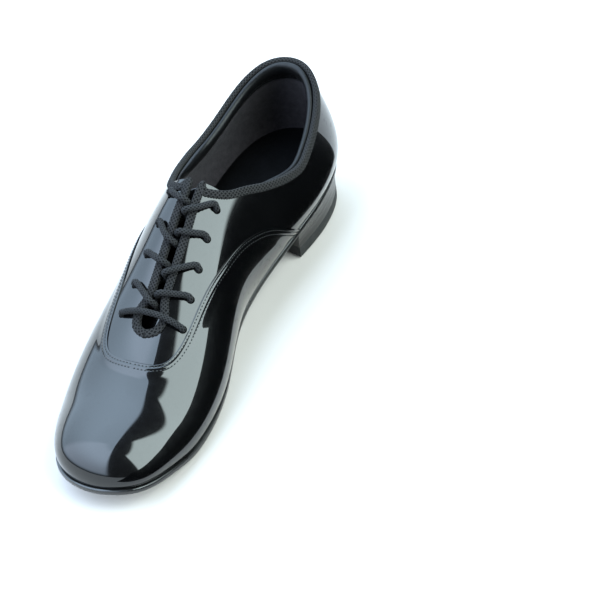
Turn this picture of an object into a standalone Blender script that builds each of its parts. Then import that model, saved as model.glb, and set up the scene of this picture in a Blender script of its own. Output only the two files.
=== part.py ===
"""Lace-up tap shoe for a man's right foot, EU 42: an oxford in patent leather with metal taps.

Axes: the toe points to -Y, the wearer's left (the inner side of this foot) is +X, +Z is up.
The shoe stands on z = 0 on its two taps. Lengths below are in millimetres and are turned
into metres by MM. "depth" always means the distance forward from the back of the heel.
"""
import bmesh
import bpy
import numpy as np
from mathutils import Matrix, Vector

MM = 0.001

# ---- driving dimensions (mm) -------------------------------------------------------------
FEATHER_LENGTH = 286.0          # heel back to toe tip where the upper meets the sole
HEEL_BACK_Y = 142.0             # y of the feather line at the heel back
PLAN_SHIFT = (2.35, 1.15)       # puts the origin under the middle of the outline
GAP = 0.35                      # clearance between neighbouring pieces
FACET_GAP = 0.6                 # clearance between curved pieces built from flat facets
SOLE_THICKNESS = 3.5
BOARD_LIFT = 2.6                # outsole top to the underside of the insole board
BOARD_THICKNESS = 1.8
SOCK_THICKNESS = 1.0
TAP_THICKNESS = 2.5
TOP_PIECE_THICKNESS = 5.0
TAP_PROUD = 0.7                 # how far the heel tap stands out of its recess
LEATHER = 1.2                   # upper leather
COUNTER_DEPTH = (1.6, 2.3)    # heel counter and toe puff, measured in from the outside
LINING_DEPTH = (2.95, 3.6)
TONGUE_DEPTH = (10.8, 11.9)
TONGUE_LINING_DEPTH = (12.5, 13.3)
EYELET_FIRST = 131.8            # depth of the top pair of eyelets
EYELET_PITCH = 15.8
EYELET_OUT = (13.8, 14.4, 15.5, 16.8, 18.3)   # ridge to eyelet, top pair first
EYELET_RADIUS = 2.8
LACE_RADIUS = 1.8
FLEX_DEPTH = 207.0              # the ball of the foot, where the sole bends
FLEX_HEIGHT = 11.3
VAMP_SPLIT_DEPTH = 226.0        # where the vamp is parted so that the forepart can bend
TONGUE_HINGE_DEPTH = 209.0
HEEL_BREAST_DEPTH = 77.0

# ---- the last: values at eleven stations from the heel back (0) to the toe tip (10) -------
INNER_FEATHER = (0, 18, 29, 31, 25, 22, 34, 39, 35, 25, 4)
OUTER_FEATHER = (0, 18, 29, 33, 35, 38, 44, 42, 32, 17, 0)
INNER_SWELL = (3, 4, 5, 6, 9, 12, 8, 5, 4.5, 3, 0)
OUTER_SWELL = (3, 4, 5, 5.5, 6, 6, 5, 4, 3.5, 3, 0)
RIDGE_RISE = (0, 40, 80, 92, 88, 74, 53.5, 36, 27, 16, 0)
INNER_COLLAR_X = (0, 14.5, 25, 30.5, 28, 2, 1, 1, 3, 4, 4)
OUTER_COLLAR_X = (0, 14.5, 25.5, 31, 28, 2, 0, 0, 0, 0, 0)
COLLAR_DEPTH = (5, 11.5, 30, 62, 101, 143, 187, 227, 259, 279, 286)
COLLAR_Z = (91, 89, 80, 73, 79, 85, 60, 45, 38, 30, 17)

# ---- curves along the shoe: (depth, value) -------------------------------------------------
SOLE_BOTTOM = ((0, 24.5), (35, 24.0), (65, 21.8), (95, 16.6), (130, 9.4), (160, 4.4),
               (180, 2.75), (196, 2.5), (233, 2.5), (256, 6.6), (286, 12.8))
RIDGE_X = ((0, 0), (100, 0.5), (143, 0.0), (187, 0.5), (227, 1.5), (260, 3.0), (286, 4))
SOLE_MARGIN = ((0, 0.5), (60, 0.5), (110, 0.0), (190, 0.3), (230, 1.1), (286, 1.7))
FACING_HALF_GAP = ((118, 3.6), (150, 3.4), (180, 3.4), (187, 3.9), (191.5, 5.8), (195.8, 6.6),
                   (200, 5.6), (202.5, 3.4), (203.6, 0))

# ---- lines on the upper --------------------------------------------------------------------
# Top edge of the quarter: (station 0..1, share of the way up).
TOPLINE = ((0, 0.915), (0.1, 0.915), (0.18, 0.914), (0.22, 0.902), (0.26, 0.880), (0.30, 0.860),
           (0.34, 0.785), (0.37, 0.69), (0.40, 0.63), (0.43, 0.64), (0.447, 0.69), (0.458, 0.755))
# Seam of quarter and vamp: (share of the way up, station 0..1).
SEAM = ((0, 0.345), (0.1, 0.360), (0.2, 0.381), (0.3, 0.412), (0.36, 0.448), (0.43, 0.484),
        (0.50, 0.517), (0.58, 0.552), (0.63, 0.586), (0.655, 0.617), (0.685, 0.645),
        (0.73, 0.666), (0.81, 0.677), (0.9, 0.681), (1, 0.682))
SEAM_ROWS = (0, 0.1, 0.2, 0.3, 0.36, 0.43, 0.50, 0.58, 0.63, 0.655, 0.685, 0.73, 0.81, 0.9, 1.0)
COLLAR_STATIONS = (0, 0.035, 0.07, 0.105, 0.14, 0.18, 0.22, 0.26, 0.30, 0.34, 0.37, 0.40, 0.43)
CORNER = ((0.447, 0.69), (0.4585, 0.765), (0.4655, 0.86))
FACING_DEPTHS = (126, 148, 170, 182.5, 188.5, 192, 195.8, 199.2, 201.4, 202.9, 203.6)
QUARTER_RISE = (0, 0.25, 0.48, 0.68, 0.83, 0.92, 0.97, 1.0)

BINDING_PROFILE = ((3.4, 0.62), (3.4, 1.1), (-0.5, 1.2), (-1.15, 0.6), (-1.15, -1.6),
                   (-0.5, -2.35), (3.0, -2.3), (3.0, -1.85), (-0.6, -1.8), (-0.6, 0.6))
COLLAR_PAD_HEIGHT = 13.0
COLLAR_PAD_DROP = 0.012         # top of the pad below the top edge, as a share of the column
SEAM_CLEARANCE = 0.46           # from the middle of the seam to either piece, in mm
STATION_SPAN = 430.0            # rough length in mm of one unit of station, and of one column
COLUMN_SPAN = 80.0


# ---- smooth curves ---------------------------------------------------------------------------
def ring_curve(inner, outer, mirrored):
    """Periodic cubic spline around the shoe; mirrored values change sign on the outer side."""
    sign = -1.0 if mirrored else 1.0
    values = np.array(list(inner) + [sign * value for value in outer[-2:0:-1]], float)
    count = len(values)
    step = 2.0 / count
    matrix = np.zeros((count, count))
    rhs = np.zeros(count)
    for i in range(count):
        after = (i + 1) % count
        matrix[i, i - 1] = step / 6
        matrix[i, i] = 4 * step / 6
        matrix[i, after] = step / 6
        rhs[i] = (values[after] - 2 * values[i] + values[i - 1]) / step
    bend = np.linalg.solve(matrix, rhs)

    def curve(around):
        around = np.mod(np.asarray(around, float), 2.0)
        i = np.minimum((around / step).astype(int), count - 1)
        after = (i + 1) % count
        right = around - i * step
        left = step - right
        return (bend[i] * left ** 3 / (6 * step) + bend[after] * right ** 3 / (6 * step)
                + (values[i] / step - bend[i] * step / 6) * left
                + (values[after] / step - bend[after] * step / 6) * right)
    return curve


def run_curve(points):
    """Smooth curve through (place, value) points that never overshoots between them."""
    place = np.array([p[0] for p in points], float)
    value = np.array([p[1] for p in points], float)
    width = np.diff(place)
    rise = np.diff(value) / width
    slope = np.zeros(len(place))
    for i in range(1, len(place) - 1):
        if rise[i - 1] * rise[i] > 0:
            before = 2 * width[i] + width[i - 1]
            after = width[i] + 2 * width[i - 1]
            slope[i] = (before + after) / (before / rise[i - 1] + after / rise[i])
    slope[0] = rise[0]
    slope[-1] = rise[-1]

    def curve(at):
        at = np.clip(np.asarray(at, float), place[0], place[-1])
        i = np.clip(np.searchsorted(place, at, side="right") - 1, 0, len(place) - 2)
        t = (at - place[i]) / width[i]
        return (value[i] * (1 + 2 * t) * (1 - t) ** 2 + slope[i] * width[i] * t * (1 - t) ** 2
                + value[i + 1] * t * t * (3 - 2 * t)
                + slope[i + 1] * width[i] * t * t * (t - 1))
    return curve


def smoothstep(value, start, end):
    share = np.clip((value - start) / (end - start), 0, 1)
    return share ** 3 * (share * (6 * share - 15) + 10)


def soft_curve(points, reach):
    """run_curve with its bends spread over about `reach`; the ends keep their values."""
    sharp = run_curve(points)
    start, end = points[0][0], points[-1][0]
    place = np.linspace(start, end, 90)
    value = np.zeros(place.shape)
    total = 0.0
    for offset in np.linspace(-2, 2, 33):
        weight = float(np.exp(-0.5 * offset ** 2))
        at = place + offset * reach
        seen = np.where(at < start, 2 * sharp(start) - sharp(2 * start - at),
                        np.where(at > end, 2 * sharp(end) - sharp(2 * end - at), sharp(at)))
        value += weight * seen
        total += weight
    return run_curve(list(zip(place, value / total)))


def rounded_seam(points, reach):
    """The seam's station for a height, with its corners rounded over about `reach` mm."""
    sharp = run_curve(points)
    up = np.linspace(0, 1, 300)
    line = np.stack([sharp(up) * STATION_SPAN, up * COLUMN_SPAN], -1)
    before = 2 * line[0] - line[:0:-1]
    over = line[-2::-1] * (1, -1) + (0, 2 * COLUMN_SPAN)
    whole = np.concatenate([before, line, over])
    steps = np.linalg.norm(np.diff(whole, axis=0), axis=1)
    run = np.concatenate([[0], np.cumsum(steps)])
    marks = np.arange(0, run[-1], 0.5)
    even = np.stack([np.interp(marks, run, whole[:, k]) for k in range(2)], -1)
    offsets = np.arange(-int(6 * reach), int(6 * reach) + 1) * 0.5
    weights = np.exp(-0.5 * (offsets / reach) ** 2)
    weights /= weights.sum()
    soft = np.stack([np.convolve(even[:, k], weights, "same") for k in range(2)], -1)
    heights = soft[:, 1] / COLUMN_SPAN
    places = soft[:, 0] / STATION_SPAN
    inside = (heights > -0.02) & (heights < 1.02)
    marks = np.linspace(0, 1, 120)
    return run_curve(list(zip(marks, np.interp(marks, heights[inside], places[inside]))))


feather_x = ring_curve(INNER_FEATHER, OUTER_FEATHER, True)
swell = ring_curve(INNER_SWELL, OUTER_SWELL, False)
ridge_rise = ring_curve(RIDGE_RISE, RIDGE_RISE, True)
collar_x = ring_curve(INNER_COLLAR_X, OUTER_COLLAR_X, True)
collar_depth = ring_curve(COLLAR_DEPTH, COLLAR_DEPTH, False)
collar_z = ring_curve(COLLAR_Z, COLLAR_Z, False)
sole_bottom = soft_curve(SOLE_BOTTOM, 5.0)
sole_margin = soft_curve(SOLE_MARGIN, 8.0)
ridge_x = soft_curve(RIDGE_X, 9.0)
topline = soft_curve(TOPLINE, 0.014)
seam_station = rounded_seam(SEAM, 4.5)
half_gap = run_curve(FACING_HALF_GAP)


def depth_of(station):
    return FEATHER_LENGTH * (1 - np.cos(np.pi * np.asarray(station, float))) / 2


def station_of(depth):
    return np.arccos(np.clip(1 - 2 * np.asarray(depth, float) / FEATHER_LENGTH, -1, 1)) / np.pi


def feather_z(depth):
    return sole_bottom(depth) + SOLE_THICKNESS + FACET_GAP


# ---- the outside surface of the upper ----------------------------------------------------------
def outward(around):
    """Unit direction in plan, (x, depth), that points out of the feather line."""
    step = 1e-3
    dx = feather_x(around + step) - feather_x(around - step)
    dd = depth_of(around + step) - depth_of(around - step)
    length = np.hypot(dx, dd)
    return dd / length, -dx / length


def column(around, arch):
    """Four Bezier points of the column at `around`: -1..1, 0 heel back, +-1 toe, + inner side.

    Behind the throat a column ends on the collar; ahead of it, on the ridge of the last.
    `arch` makes every column end on the ridge.
    """
    around = np.asarray(around, float)
    station = np.abs(around)
    depth = depth_of(station)
    foot_z = feather_z(depth)
    foot_x = feather_x(around)
    side = np.where(around >= 0, 1.0, -1.0)
    out_x, out_d = outward(around)
    bulge = swell(around)
    foot = np.stack([foot_x, depth, foot_z], -1)
    top = np.stack([collar_x(around), collar_depth(around), collar_z(around)], -1)
    height = top[..., 2] - foot_z
    rear_low = foot + np.stack([out_x * bulge * 1.9, out_d * bulge * 1.9, 0.30 * height], -1)
    lean = np.minimum(bulge, 4.5) * 0.9
    rear_high = top + np.stack([out_x * lean, out_d * lean, -0.32 * height], -1)
    rise = np.abs(ridge_rise(around))
    crest_x = ridge_x(depth)
    crest = np.stack([crest_x, depth, foot_z + rise], -1)
    front_high = np.stack([crest_x + 0.55 * (foot_x - crest_x), depth, foot_z + rise], -1)
    front_low = foot + np.stack([side * bulge * 1.6, 0 * depth, 0.55 * rise], -1)
    front = np.ones_like(station) if arch else smoothstep(station, 0.28, 0.52)
    front = front[..., None]
    return (foot, rear_low * (1 - front) + front_low * front,
            rear_high * (1 - front) + front_high * front, top * (1 - front) + crest * front)


def surface(around, up, arch=False):
    """Point on the outside of the upper, in mm, as (x, y, z); up runs from feather 0 to top 1."""
    c0, c1, c2, c3 = column(around, arch)
    up = np.asarray(up, float)[..., None]
    point = (c0 * (1 - up) ** 3 + 3 * c1 * up * (1 - up) ** 2 + 3 * c2 * up ** 2 * (1 - up)
             + c3 * up ** 3)
    return np.stack([point[..., 0], HEEL_BACK_Y - point[..., 1], point[..., 2]], -1)


def surface_normal(around, up, arch=False):
    step = 1e-4
    around = np.asarray(around, float)
    up = np.asarray(up, float)
    high = np.minimum(up + step, 1.0)
    along_up = surface(around, high, arch) - surface(around, high - 2 * step, arch)
    along_around = surface(around + step, up, arch) - surface(around - step, up, arch)
    cross = np.cross(along_up, along_around)
    length = np.linalg.norm(cross, axis=-1, keepdims=True)
    at_tip = np.abs(around)[..., None] > 0.9995
    tip_normal = np.array([0.0, -1.0, 0.0])
    return np.where(at_tip, tip_normal, cross / np.maximum(length, 1e-12))


def layer(around, up, depth, arch=False):
    """Surface moved inwards by `depth`, kept above the feather line."""
    point = surface(around, up, arch) - depth * surface_normal(around, up, arch)
    floor = feather_z(HEEL_BACK_Y - point[..., 1])
    point[..., 2] = np.maximum(point[..., 2], floor)
    return point


def up_at_offset(station, side, offset):
    """Share of the way up at which the column is `offset` mm beside the ridge."""
    ups = np.linspace(0.3, 1.0, 141)
    line = surface(np.full(ups.shape, side * station), ups)
    beside = (line[:, 0] - ridge_x(depth_of(station))) * side
    order = np.argsort(beside)
    return float(np.interp(offset, beside[order], ups[order]))


# ---- materials and mesh building ---------------------------------------------------------------
def material(name, colour, roughness, metallic=0.0):
    mat = bpy.data.materials.new(name)
    mat.use_nodes = True
    shader = mat.node_tree.nodes["Principled BSDF"]
    shader.inputs["Base Color"].default_value = (*colour, 1.0)
    shader.inputs["Roughness"].default_value = roughness
    shader.inputs["Metallic"].default_value = metallic
    return mat


PATENT = ((0.010, 0.010, 0.012), 0.06, 0.0)
BLACK_LEATHER = ((0.018, 0.018, 0.020), 0.45, 0.0)
LINING_CLOTH = ((0.060, 0.055, 0.058), 0.90, 0.0)
GROSGRAIN = ((0.045, 0.043, 0.043), 0.80, 0.0)
LACE_BRAID = ((0.050, 0.050, 0.052), 0.75, 0.0)
SOLE_LEATHER = ((0.030, 0.027, 0.025), 0.50, 0.0)
FIBRE_BOARD = ((0.420, 0.300, 0.190), 0.85, 0.0)
RUBBER = ((0.020, 0.020, 0.020), 0.70, 0.0)
ALUMINIUM = ((0.620, 0.630, 0.640), 0.28, 1.0)
STEEL = ((0.450, 0.450, 0.460), 0.30, 1.0)
STIFFENER = ((0.520, 0.500, 0.460), 0.80, 0.0)
CORK = ((0.420, 0.270, 0.140), 0.90, 0.0)
CLEAR_FILM = ((0.100, 0.100, 0.105), 0.25, 0.0)


def add_object(name, data, finish):
    obj = bpy.data.objects.new(name, data)
    bpy.context.scene.collection.objects.link(obj)
    data.materials.append(material(name, *finish))
    return obj


def finish_mesh(name, bm, finish, smooth_angle=0.7):
    bmesh.ops.remove_doubles(bm, verts=bm.verts, dist=1e-6)
    bmesh.ops.dissolve_degenerate(bm, edges=bm.edges, dist=1e-7)
    bmesh.ops.recalc_face_normals(bm, faces=bm.faces)
    if bm.calc_volume(signed=True) < 0:
        bmesh.ops.reverse_faces(bm, faces=bm.faces)
    mesh = bpy.data.meshes.new(name)
    bm.to_mesh(mesh)
    bm.free()
    mesh.shade_smooth()
    mesh.set_sharp_from_angle(angle=smooth_angle)
    return add_object(name, mesh, finish)


def lattice_solid(name, points, finish, loop=False):
    """Closed body from a lattice of points [level, along, across] in mm: its boundary faces.

    With loop, the last row along joins the first one.
    """
    points = np.asarray(points, float)
    levels, along, across = points.shape[:3]
    bm = bmesh.new()
    verts = {}

    def vert(k, i, j):
        key = (k, i % along if loop else i, j)
        if key not in verts:
            verts[key] = bm.verts.new(Vector(points[key]) * MM)
        return verts[key]

    steps = along if loop else along - 1
    for i in range(steps):
        for j in range(across - 1):
            for k in (0, levels - 1):
                bm.faces.new([vert(k, i, j), vert(k, i + 1, j), vert(k, i + 1, j + 1),
                              vert(k, i, j + 1)])
        for k in range(levels - 1):
            for j in (0, across - 1):
                bm.faces.new([vert(k, i, j), vert(k, i + 1, j), vert(k + 1, i + 1, j),
                              vert(k + 1, i, j)])
    if not loop:
        for k in range(levels - 1):
            for j in range(across - 1):
                for i in (0, along - 1):
                    bm.faces.new([vert(k, i, j), vert(k, i, j + 1), vert(k + 1, i, j + 1),
                                  vert(k + 1, i, j)])
    return finish_mesh(name, bm, finish)


def turned_solid(name, profile, centre, axis, finish, sides=12):
    """Closed turned body: profile is (radius, distance along axis) from one end to the other."""
    axis = Vector(axis).normalized()
    across = axis.orthogonal().normalized()
    third = axis.cross(across)
    centre = Vector(centre)
    bm = bmesh.new()
    rings = []
    for radius, along in profile:
        ring = []
        for i in range(sides):
            turn = 2 * np.pi * i / sides
            spot = centre + axis * along + (across * np.cos(turn) + third * np.sin(turn)) * radius
            ring.append(bm.verts.new(spot * MM))
        rings.append(ring)
    for low, high in zip(rings, rings[1:]):
        for i in range(sides):
            after = (i + 1) % sides
            bm.faces.new([low[i], low[after], high[after], high[i]])
    bm.faces.new(rings[0])
    bm.faces.new(rings[-1])
    return finish_mesh(name, bm, finish)


def hide_cutter(obj):
    obj.hide_render = True
    obj.display_type = "WIRE"
    return obj


def cut(obj, cutter):
    modifier = obj.modifiers.new("cut_" + cutter.name, "BOOLEAN")
    modifier.operation = "DIFFERENCE"
    modifier.object = cutter


def join_meshes(name, objects):
    """One mesh object that holds the separate bodies of `objects`, which are removed."""
    bm = bmesh.new()
    for obj in objects:
        bm.from_mesh(obj.data)
        bpy.data.objects.remove(obj)
    mesh = bpy.data.meshes.new(name)
    bm.to_mesh(mesh)
    bm.free()
    joined = bpy.data.objects.new(name, mesh)
    bpy.context.scene.collection.objects.link(joined)
    return joined


def smooth_path(points, spacing):
    """Points every `spacing` mm on a Catmull-Rom curve through the given points."""
    points = [np.array(p, float) for p in points]
    points = [2 * points[0] - points[1]] + points + [2 * points[-1] - points[-2]]
    dense = []
    for p0, p1, p2, p3 in zip(points, points[1:], points[2:], points[3:]):
        for t in np.linspace(0, 1, 12, endpoint=False):
            dense.append(0.5 * (2 * p1 + (p2 - p0) * t + (2 * p0 - 5 * p1 + 4 * p2 - p3) * t ** 2
                                + (3 * p1 - p0 - 3 * p2 + p3) * t ** 3))
    dense.append(points[-2])
    dense = np.array(dense)
    lengths = np.concatenate([[0], np.cumsum(np.linalg.norm(np.diff(dense, axis=0), axis=1))])
    count = max(2, int(round(lengths[-1] / spacing)) + 1)
    marks = np.linspace(0, lengths[-1], count)
    return np.stack([np.interp(marks, lengths, dense[:, k]) for k in range(3)], -1)


def tube(name, path, radius, finish):
    curve = bpy.data.curves.new(name, "CURVE")
    curve.dimensions = "3D"
    curve.bevel_depth = radius * MM
    curve.bevel_resolution = 2
    curve.use_fill_caps = True
    spline = curve.splines.new("POLY")
    spline.points.add(len(path) - 1)
    for point, place in zip(spline.points, path):
        point.co = (*(place * MM), 1.0)
    return add_object(name, curve, finish)


# ---- bottom: flat pieces that follow the sole ---------------------------------------------------
def outline_pair(station, margin):
    """Points (x, depth) on the outer and inner side of the feather outline, moved out by margin."""
    pair = []
    for side in (-1.0, 1.0):
        around = side * min(max(station, 1e-4), 1 - 1e-4)
        out_x, out_d = outward(around)
        pair.append((float(feather_x(around) + out_x * margin),
                     float(depth_of(around) + out_d * margin)))
    return pair


def plate(name, stations, margin, top, bottom, finish, across=3, front_cut=None):
    """Plate between two heights over the sole bottom; margin is a number or a run curve."""
    levels = []
    for lift in (bottom, top):
        rows = []
        for station in stations:
            out = margin(depth_of(station)) if callable(margin) else margin
            (x0, d0), (x1, d1) = outline_pair(station, float(out))
            row = []
            for share in np.linspace(0, 1, across):
                depth = d0 + (d1 - d0) * share
                if front_cut is not None:
                    depth = front_cut(depth)
                row.append((x0 + (x1 - x0) * share, HEEL_BACK_Y - depth,
                            float(sole_bottom(depth)) + lift))
            rows.append(row)
        levels.append(rows)
    return lattice_solid(name, levels, finish)


def rear_stations(last_depth, count):
    return list(np.linspace(0, float(station_of(last_depth)), count))


def front_stations(first_depth, count):
    return list(np.linspace(float(station_of(first_depth)), 1.0, count))


def make_bottom():
    seam = 0.25
    sole_top = SOLE_THICKNESS
    board = sole_top + BOARD_LIFT
    sock = board + BOARD_THICKNESS + FACET_GAP
    rear_limit = FLEX_DEPTH - seam
    front_limit = FLEX_DEPTH + seam
    pieces = {}
    pieces["outsole_rear"] = plate(
        "outsole_rear", rear_stations(rear_limit, 18), sole_margin, sole_top, 0.0, SOLE_LEATHER,
        front_cut=lambda depth: min(depth, rear_limit))
    pieces["outsole_forepart"] = plate(
        "outsole_forepart", front_stations(front_limit, 11), sole_margin, sole_top, 0.0,
        SOLE_LEATHER, front_cut=lambda depth: max(depth, front_limit))
    plate("insole_board_rear", rear_stations(rear_limit, 15), -5.6, board + BOARD_THICKNESS, board,
          FIBRE_BOARD, front_cut=lambda depth: min(depth, rear_limit))
    pieces["insole_board_forepart"] = plate(
        "insole_board_forepart", front_stations(front_limit, 9), -5.6, board + BOARD_THICKNESS,
        board, FIBRE_BOARD, front_cut=lambda depth: max(depth, front_limit))
    plate("sock_liner", list(np.linspace(0, 1, 23)), -6.0, sock + SOCK_THICKNESS, sock,
          BLACK_LEATHER)
    pieces["bottom_filler"] = plate(
        "bottom_filler", list(np.linspace(float(station_of(FLEX_DEPTH + 4)), 0.90, 7)), -12.0,
        board - FACET_GAP, sole_top + FACET_GAP, CORK)
    make_shank(sole_top + FACET_GAP, board - FACET_GAP)
    return pieces


def make_shank(bottom, top):
    """Spring-steel strip along the waist, between outsole and insole board."""
    half_width = 6.5
    levels = []
    for lift in (bottom, top):
        rows = []
        for depth in np.linspace(36, 172, 12):
            middle = 0.5 * float(feather_x(station_of(depth)) + feather_x(-station_of(depth)))
            z = float(sole_bottom(depth)) + lift
            rows.append([(middle - half_width, HEEL_BACK_Y - depth, z),
                         (middle + half_width, HEEL_BACK_Y - depth, z)])
        levels.append(rows)
    return lattice_solid("shank", levels, STEEL)


# ---- heel ----------------------------------------------------------------------------------------
def heel_row(station, inset, hollow, across=5):
    """Points (x, depth) across the heel, with the curved breast at its front end."""
    breast = float(station_of(HEEL_BREAST_DEPTH))
    (x0, d0), (x1, d1) = outline_pair(station, float(sole_margin(depth_of(station))) - inset)
    near_breast = (station / breast) ** 3
    row = []
    for share in np.linspace(0, 1, across):
        bow = 1 - (2 * share - 1) ** 2
        row.append((x0 + (x1 - x0) * share,
                    d0 + (d1 - d0) * share - (hollow * bow + inset * 0.5) * near_breast))
    return row


def heel_slice(name, levels, finish, hollow=5.0, reach=1.0):
    """Part of the heel: levels are (inset of the outline, height or None for the sole)."""
    stations = np.linspace(0, float(station_of(HEEL_BREAST_DEPTH)) * reach, 10)
    lattice = []
    for inset, height in levels:
        rows = []
        for station in stations:
            row = []
            for x, depth in heel_row(station, inset, hollow):
                z = float(sole_bottom(depth)) - FACET_GAP if height is None else height
                row.append((x, HEEL_BACK_Y - depth, z))
            rows.append(row)
        lattice.append(rows)
    return lattice_solid(name, lattice, finish)


def screw_profile(head_depth, length):
    return ((3.3, 0.2), (3.3, head_depth), (1.4, head_depth), (1.4, length))


def screw_hole_profile(head_depth, length):
    wide = 3.3 + GAP
    narrow = 1.4 + GAP
    return ((wide, -2.0), (wide, head_depth + GAP), (narrow, head_depth + GAP),
            (narrow, length + GAP))


def make_heel():
    tap_top = TAP_THICKNESS
    piece_top = tap_top + GAP + TOP_PIECE_THICKNESS
    block = heel_slice("heel_block", ((0.6, None), (1.8, 18.0), (2.6, 13.0),
                                      (2.9, piece_top + GAP)), SOLE_LEATHER)
    top_piece = heel_slice("heel_top_piece", ((2.9, piece_top), (3.1, TAP_PROUD)), RUBBER)
    recess = heel_slice("heel_tap_recess", ((4.4, tap_top + GAP), (4.4, -1.0)), RUBBER, hollow=8.3)
    cut(top_piece, hide_cutter(recess))
    tap = heel_slice("heel_tap", ((5.2, tap_top), (5.8, 0.0)), ALUMINIUM, hollow=9.0,
                     reach=0.98)
    spots = ((0.0, 13.0), (-15.0, 42.0), (15.0, 42.0))
    holes = []
    for number, (x, depth) in enumerate(spots, 1):
        centre = (x, HEEL_BACK_Y - depth, 0.0)
        turned_solid("heel_tap_screw_%d" % number, screw_profile(1.3, 12.0), centre, (0, 0, 1),
                     STEEL, sides=10)
        holes.append(turned_solid("hole", screw_hole_profile(1.3, 12.0), centre, (0, 0, 1),
                                  STEEL, sides=10))
    cutter = hide_cutter(join_meshes("heel_screw_holes", holes))
    for obj in (block, top_piece, tap):
        cut(obj, cutter)


# ---- toe tap -------------------------------------------------------------------------------------
def make_toe_tap(outsole):
    stations = np.linspace(float(station_of(213.0)), 0.955, 9)
    levels = []
    for drop, inset in ((FACET_GAP, 5.2), (TAP_THICKNESS, 5.8)):
        rows = []
        for station in stations:
            (x0, d0), (x1, d1) = outline_pair(station, float(sole_margin(depth_of(station))) - inset)
            row = []
            for share in np.linspace(0, 1, 5):
                depth = d0 + (d1 - d0) * share
                bow = (1 - (2 * share - 1) ** 2) * smoothstep(0.72 - station, 0.0, 0.1)
                depth = depth + 6.0 * float(bow)
                row.append((x0 + (x1 - x0) * share, HEEL_BACK_Y - depth,
                            float(sole_bottom(depth)) - drop))
            rows.append(row)
        levels.append(rows)
    tap = lattice_solid("toe_tap", levels, ALUMINIUM)
    pieces = {"toe_tap": tap}
    holes = []
    for number, (x, depth) in enumerate(((-26.0, 226.0), (26.0, 226.0), (2.5, 270.0)), 1):
        slope = float(sole_bottom(depth + 1) - sole_bottom(depth - 1)) / 2
        axis = Vector((0, slope, 1)).normalized()
        centre = (x, HEEL_BACK_Y - depth, float(sole_bottom(depth)) - TAP_THICKNESS)
        name = "toe_tap_screw_%d" % number
        pieces[name] = turned_solid(name, screw_profile(1.3, 5.0), centre, axis, STEEL, sides=10)
        holes.append(turned_solid("hole", screw_hole_profile(1.3, 5.0), centre, axis, STEEL,
                                  sides=10))
    cutter = hide_cutter(join_meshes("toe_screw_holes", holes))
    cut(tap, cutter)
    cut(outsole, cutter)
    return pieces


# ---- upper ---------------------------------------------------------------------------------------
def quarter_edge(side):
    """(around, up) along the top edge of the quarter, from the heel back to the keyhole."""
    edge = [(side * s, float(topline(s))) for s in COLLAR_STATIONS]
    edge += [(side * s, up) for s, up in CORNER]
    for depth in FACING_DEPTHS:
        station = float(station_of(depth))
        edge.append((side * station, up_at_offset(station, side, float(half_gap(depth)))))
    return edge


def seam_point(up, ahead):
    """(station, up) on the quarter's edge of the seam (ahead -1) or on the vamp's (+1)."""
    station = float(seam_station(up))
    before = max(up - 0.01, 0.0)
    after = min(up + 0.01, 1.0)
    along = (float(seam_station(after)) - float(seam_station(before))) * STATION_SPAN
    rise = (after - before) * COLUMN_SPAN
    length = float(np.hypot(along, rise))
    station += ahead * SEAM_CLEARANCE * rise / length / STATION_SPAN
    if 0 < up < 1:
        up = up - ahead * SEAM_CLEARANCE * along / length / COLUMN_SPAN
    return station, up


def quarter_foot(side):
    """(around, up) along the lower edge: the feather line, then the seam with the vamp."""
    waist = float(seam_station(0))
    shares = np.array(COLLAR_STATIONS[:-1]) / COLLAR_STATIONS[-1]
    foot = [(side * waist * share, 0.0) for share in shares]
    return foot + [(side * s, up) for s, up in (seam_point(up, -1) for up in SEAM_ROWS)]


def quarter_columns(side):
    edge = quarter_edge(side)
    foot = quarter_foot(side)
    while len(foot) < len(edge):
        foot.append(foot[-1])
    while len(edge) < len(foot):
        edge.append(edge[-1])
    return foot, edge


def quarter_grid():
    """(around, up) of every column, closed round the shoe, from lower edge to top edge."""
    loop = []
    for side in (1.0, -1.0):
        foot, edge = quarter_columns(side)
        columns = [[(f[0] + (e[0] - f[0]) * r, f[1] + (e[1] - f[1]) * r) for r in QUARTER_RISE]
                   for f, e in zip(foot, edge)]
        if side > 0:
            loop += columns
        else:
            loop += columns[-2:0:-1]
    return np.array(loop)


def shell(name, grid, depths, finish, loop=False, arch=False):
    """Sheet between two depths under the outside surface, on a grid of (around, up)."""
    points = [layer(grid[..., 0], grid[..., 1], depth, arch) for depth in depths]
    return lattice_solid(name, points, finish, loop)


def eyelets():
    """(around, up) of each eyelet: pairs (inner side, outer side), top pair first."""
    pairs = []
    for number, offset in enumerate(EYELET_OUT):
        station = float(station_of(EYELET_FIRST + number * EYELET_PITCH))
        pairs.append([(side * station, up_at_offset(station, side, offset))
                      for side in (1.0, -1.0)])
    return pairs


def make_quarter():
    grid = quarter_grid()
    quarter = shell("quarter", grid, (0.0, LEATHER), PATENT, loop=True)
    lining_grid = grid.copy()
    foot = grid[:, :1]
    lining_grid = foot + (grid - foot) * lining_share(grid)[:, None, None]
    lining = shell("quarter_lining", lining_grid, LINING_DEPTH, LINING_CLOTH, loop=True)
    holes = []
    for pair in eyelets():
        for around, up in pair:
            centre = surface(around, up)
            axis = -surface_normal(around, up)
            holes.append(turned_solid("hole", ((EYELET_RADIUS, -3.0), (EYELET_RADIUS, 7.0)),
                                      centre, axis, STEEL, sides=12))
    cutter = hide_cutter(join_meshes("eyelet_holes", holes))
    for obj in (quarter, lining):
        cut(obj, cutter)
    make_binding(grid[:, -1], grid[:, -2])
    make_collar_pad(grid)
    make_counter(grid)


def pad_share(grid, i):
    """Height of the collar pad as a share of column i."""
    top = surface(*grid[i, -1])
    below = surface(*grid[i, -2])
    span = np.linalg.norm(top - below) / (QUARTER_RISE[-1] - QUARTER_RISE[-2])
    return COLLAR_PAD_HEIGHT / span


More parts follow.
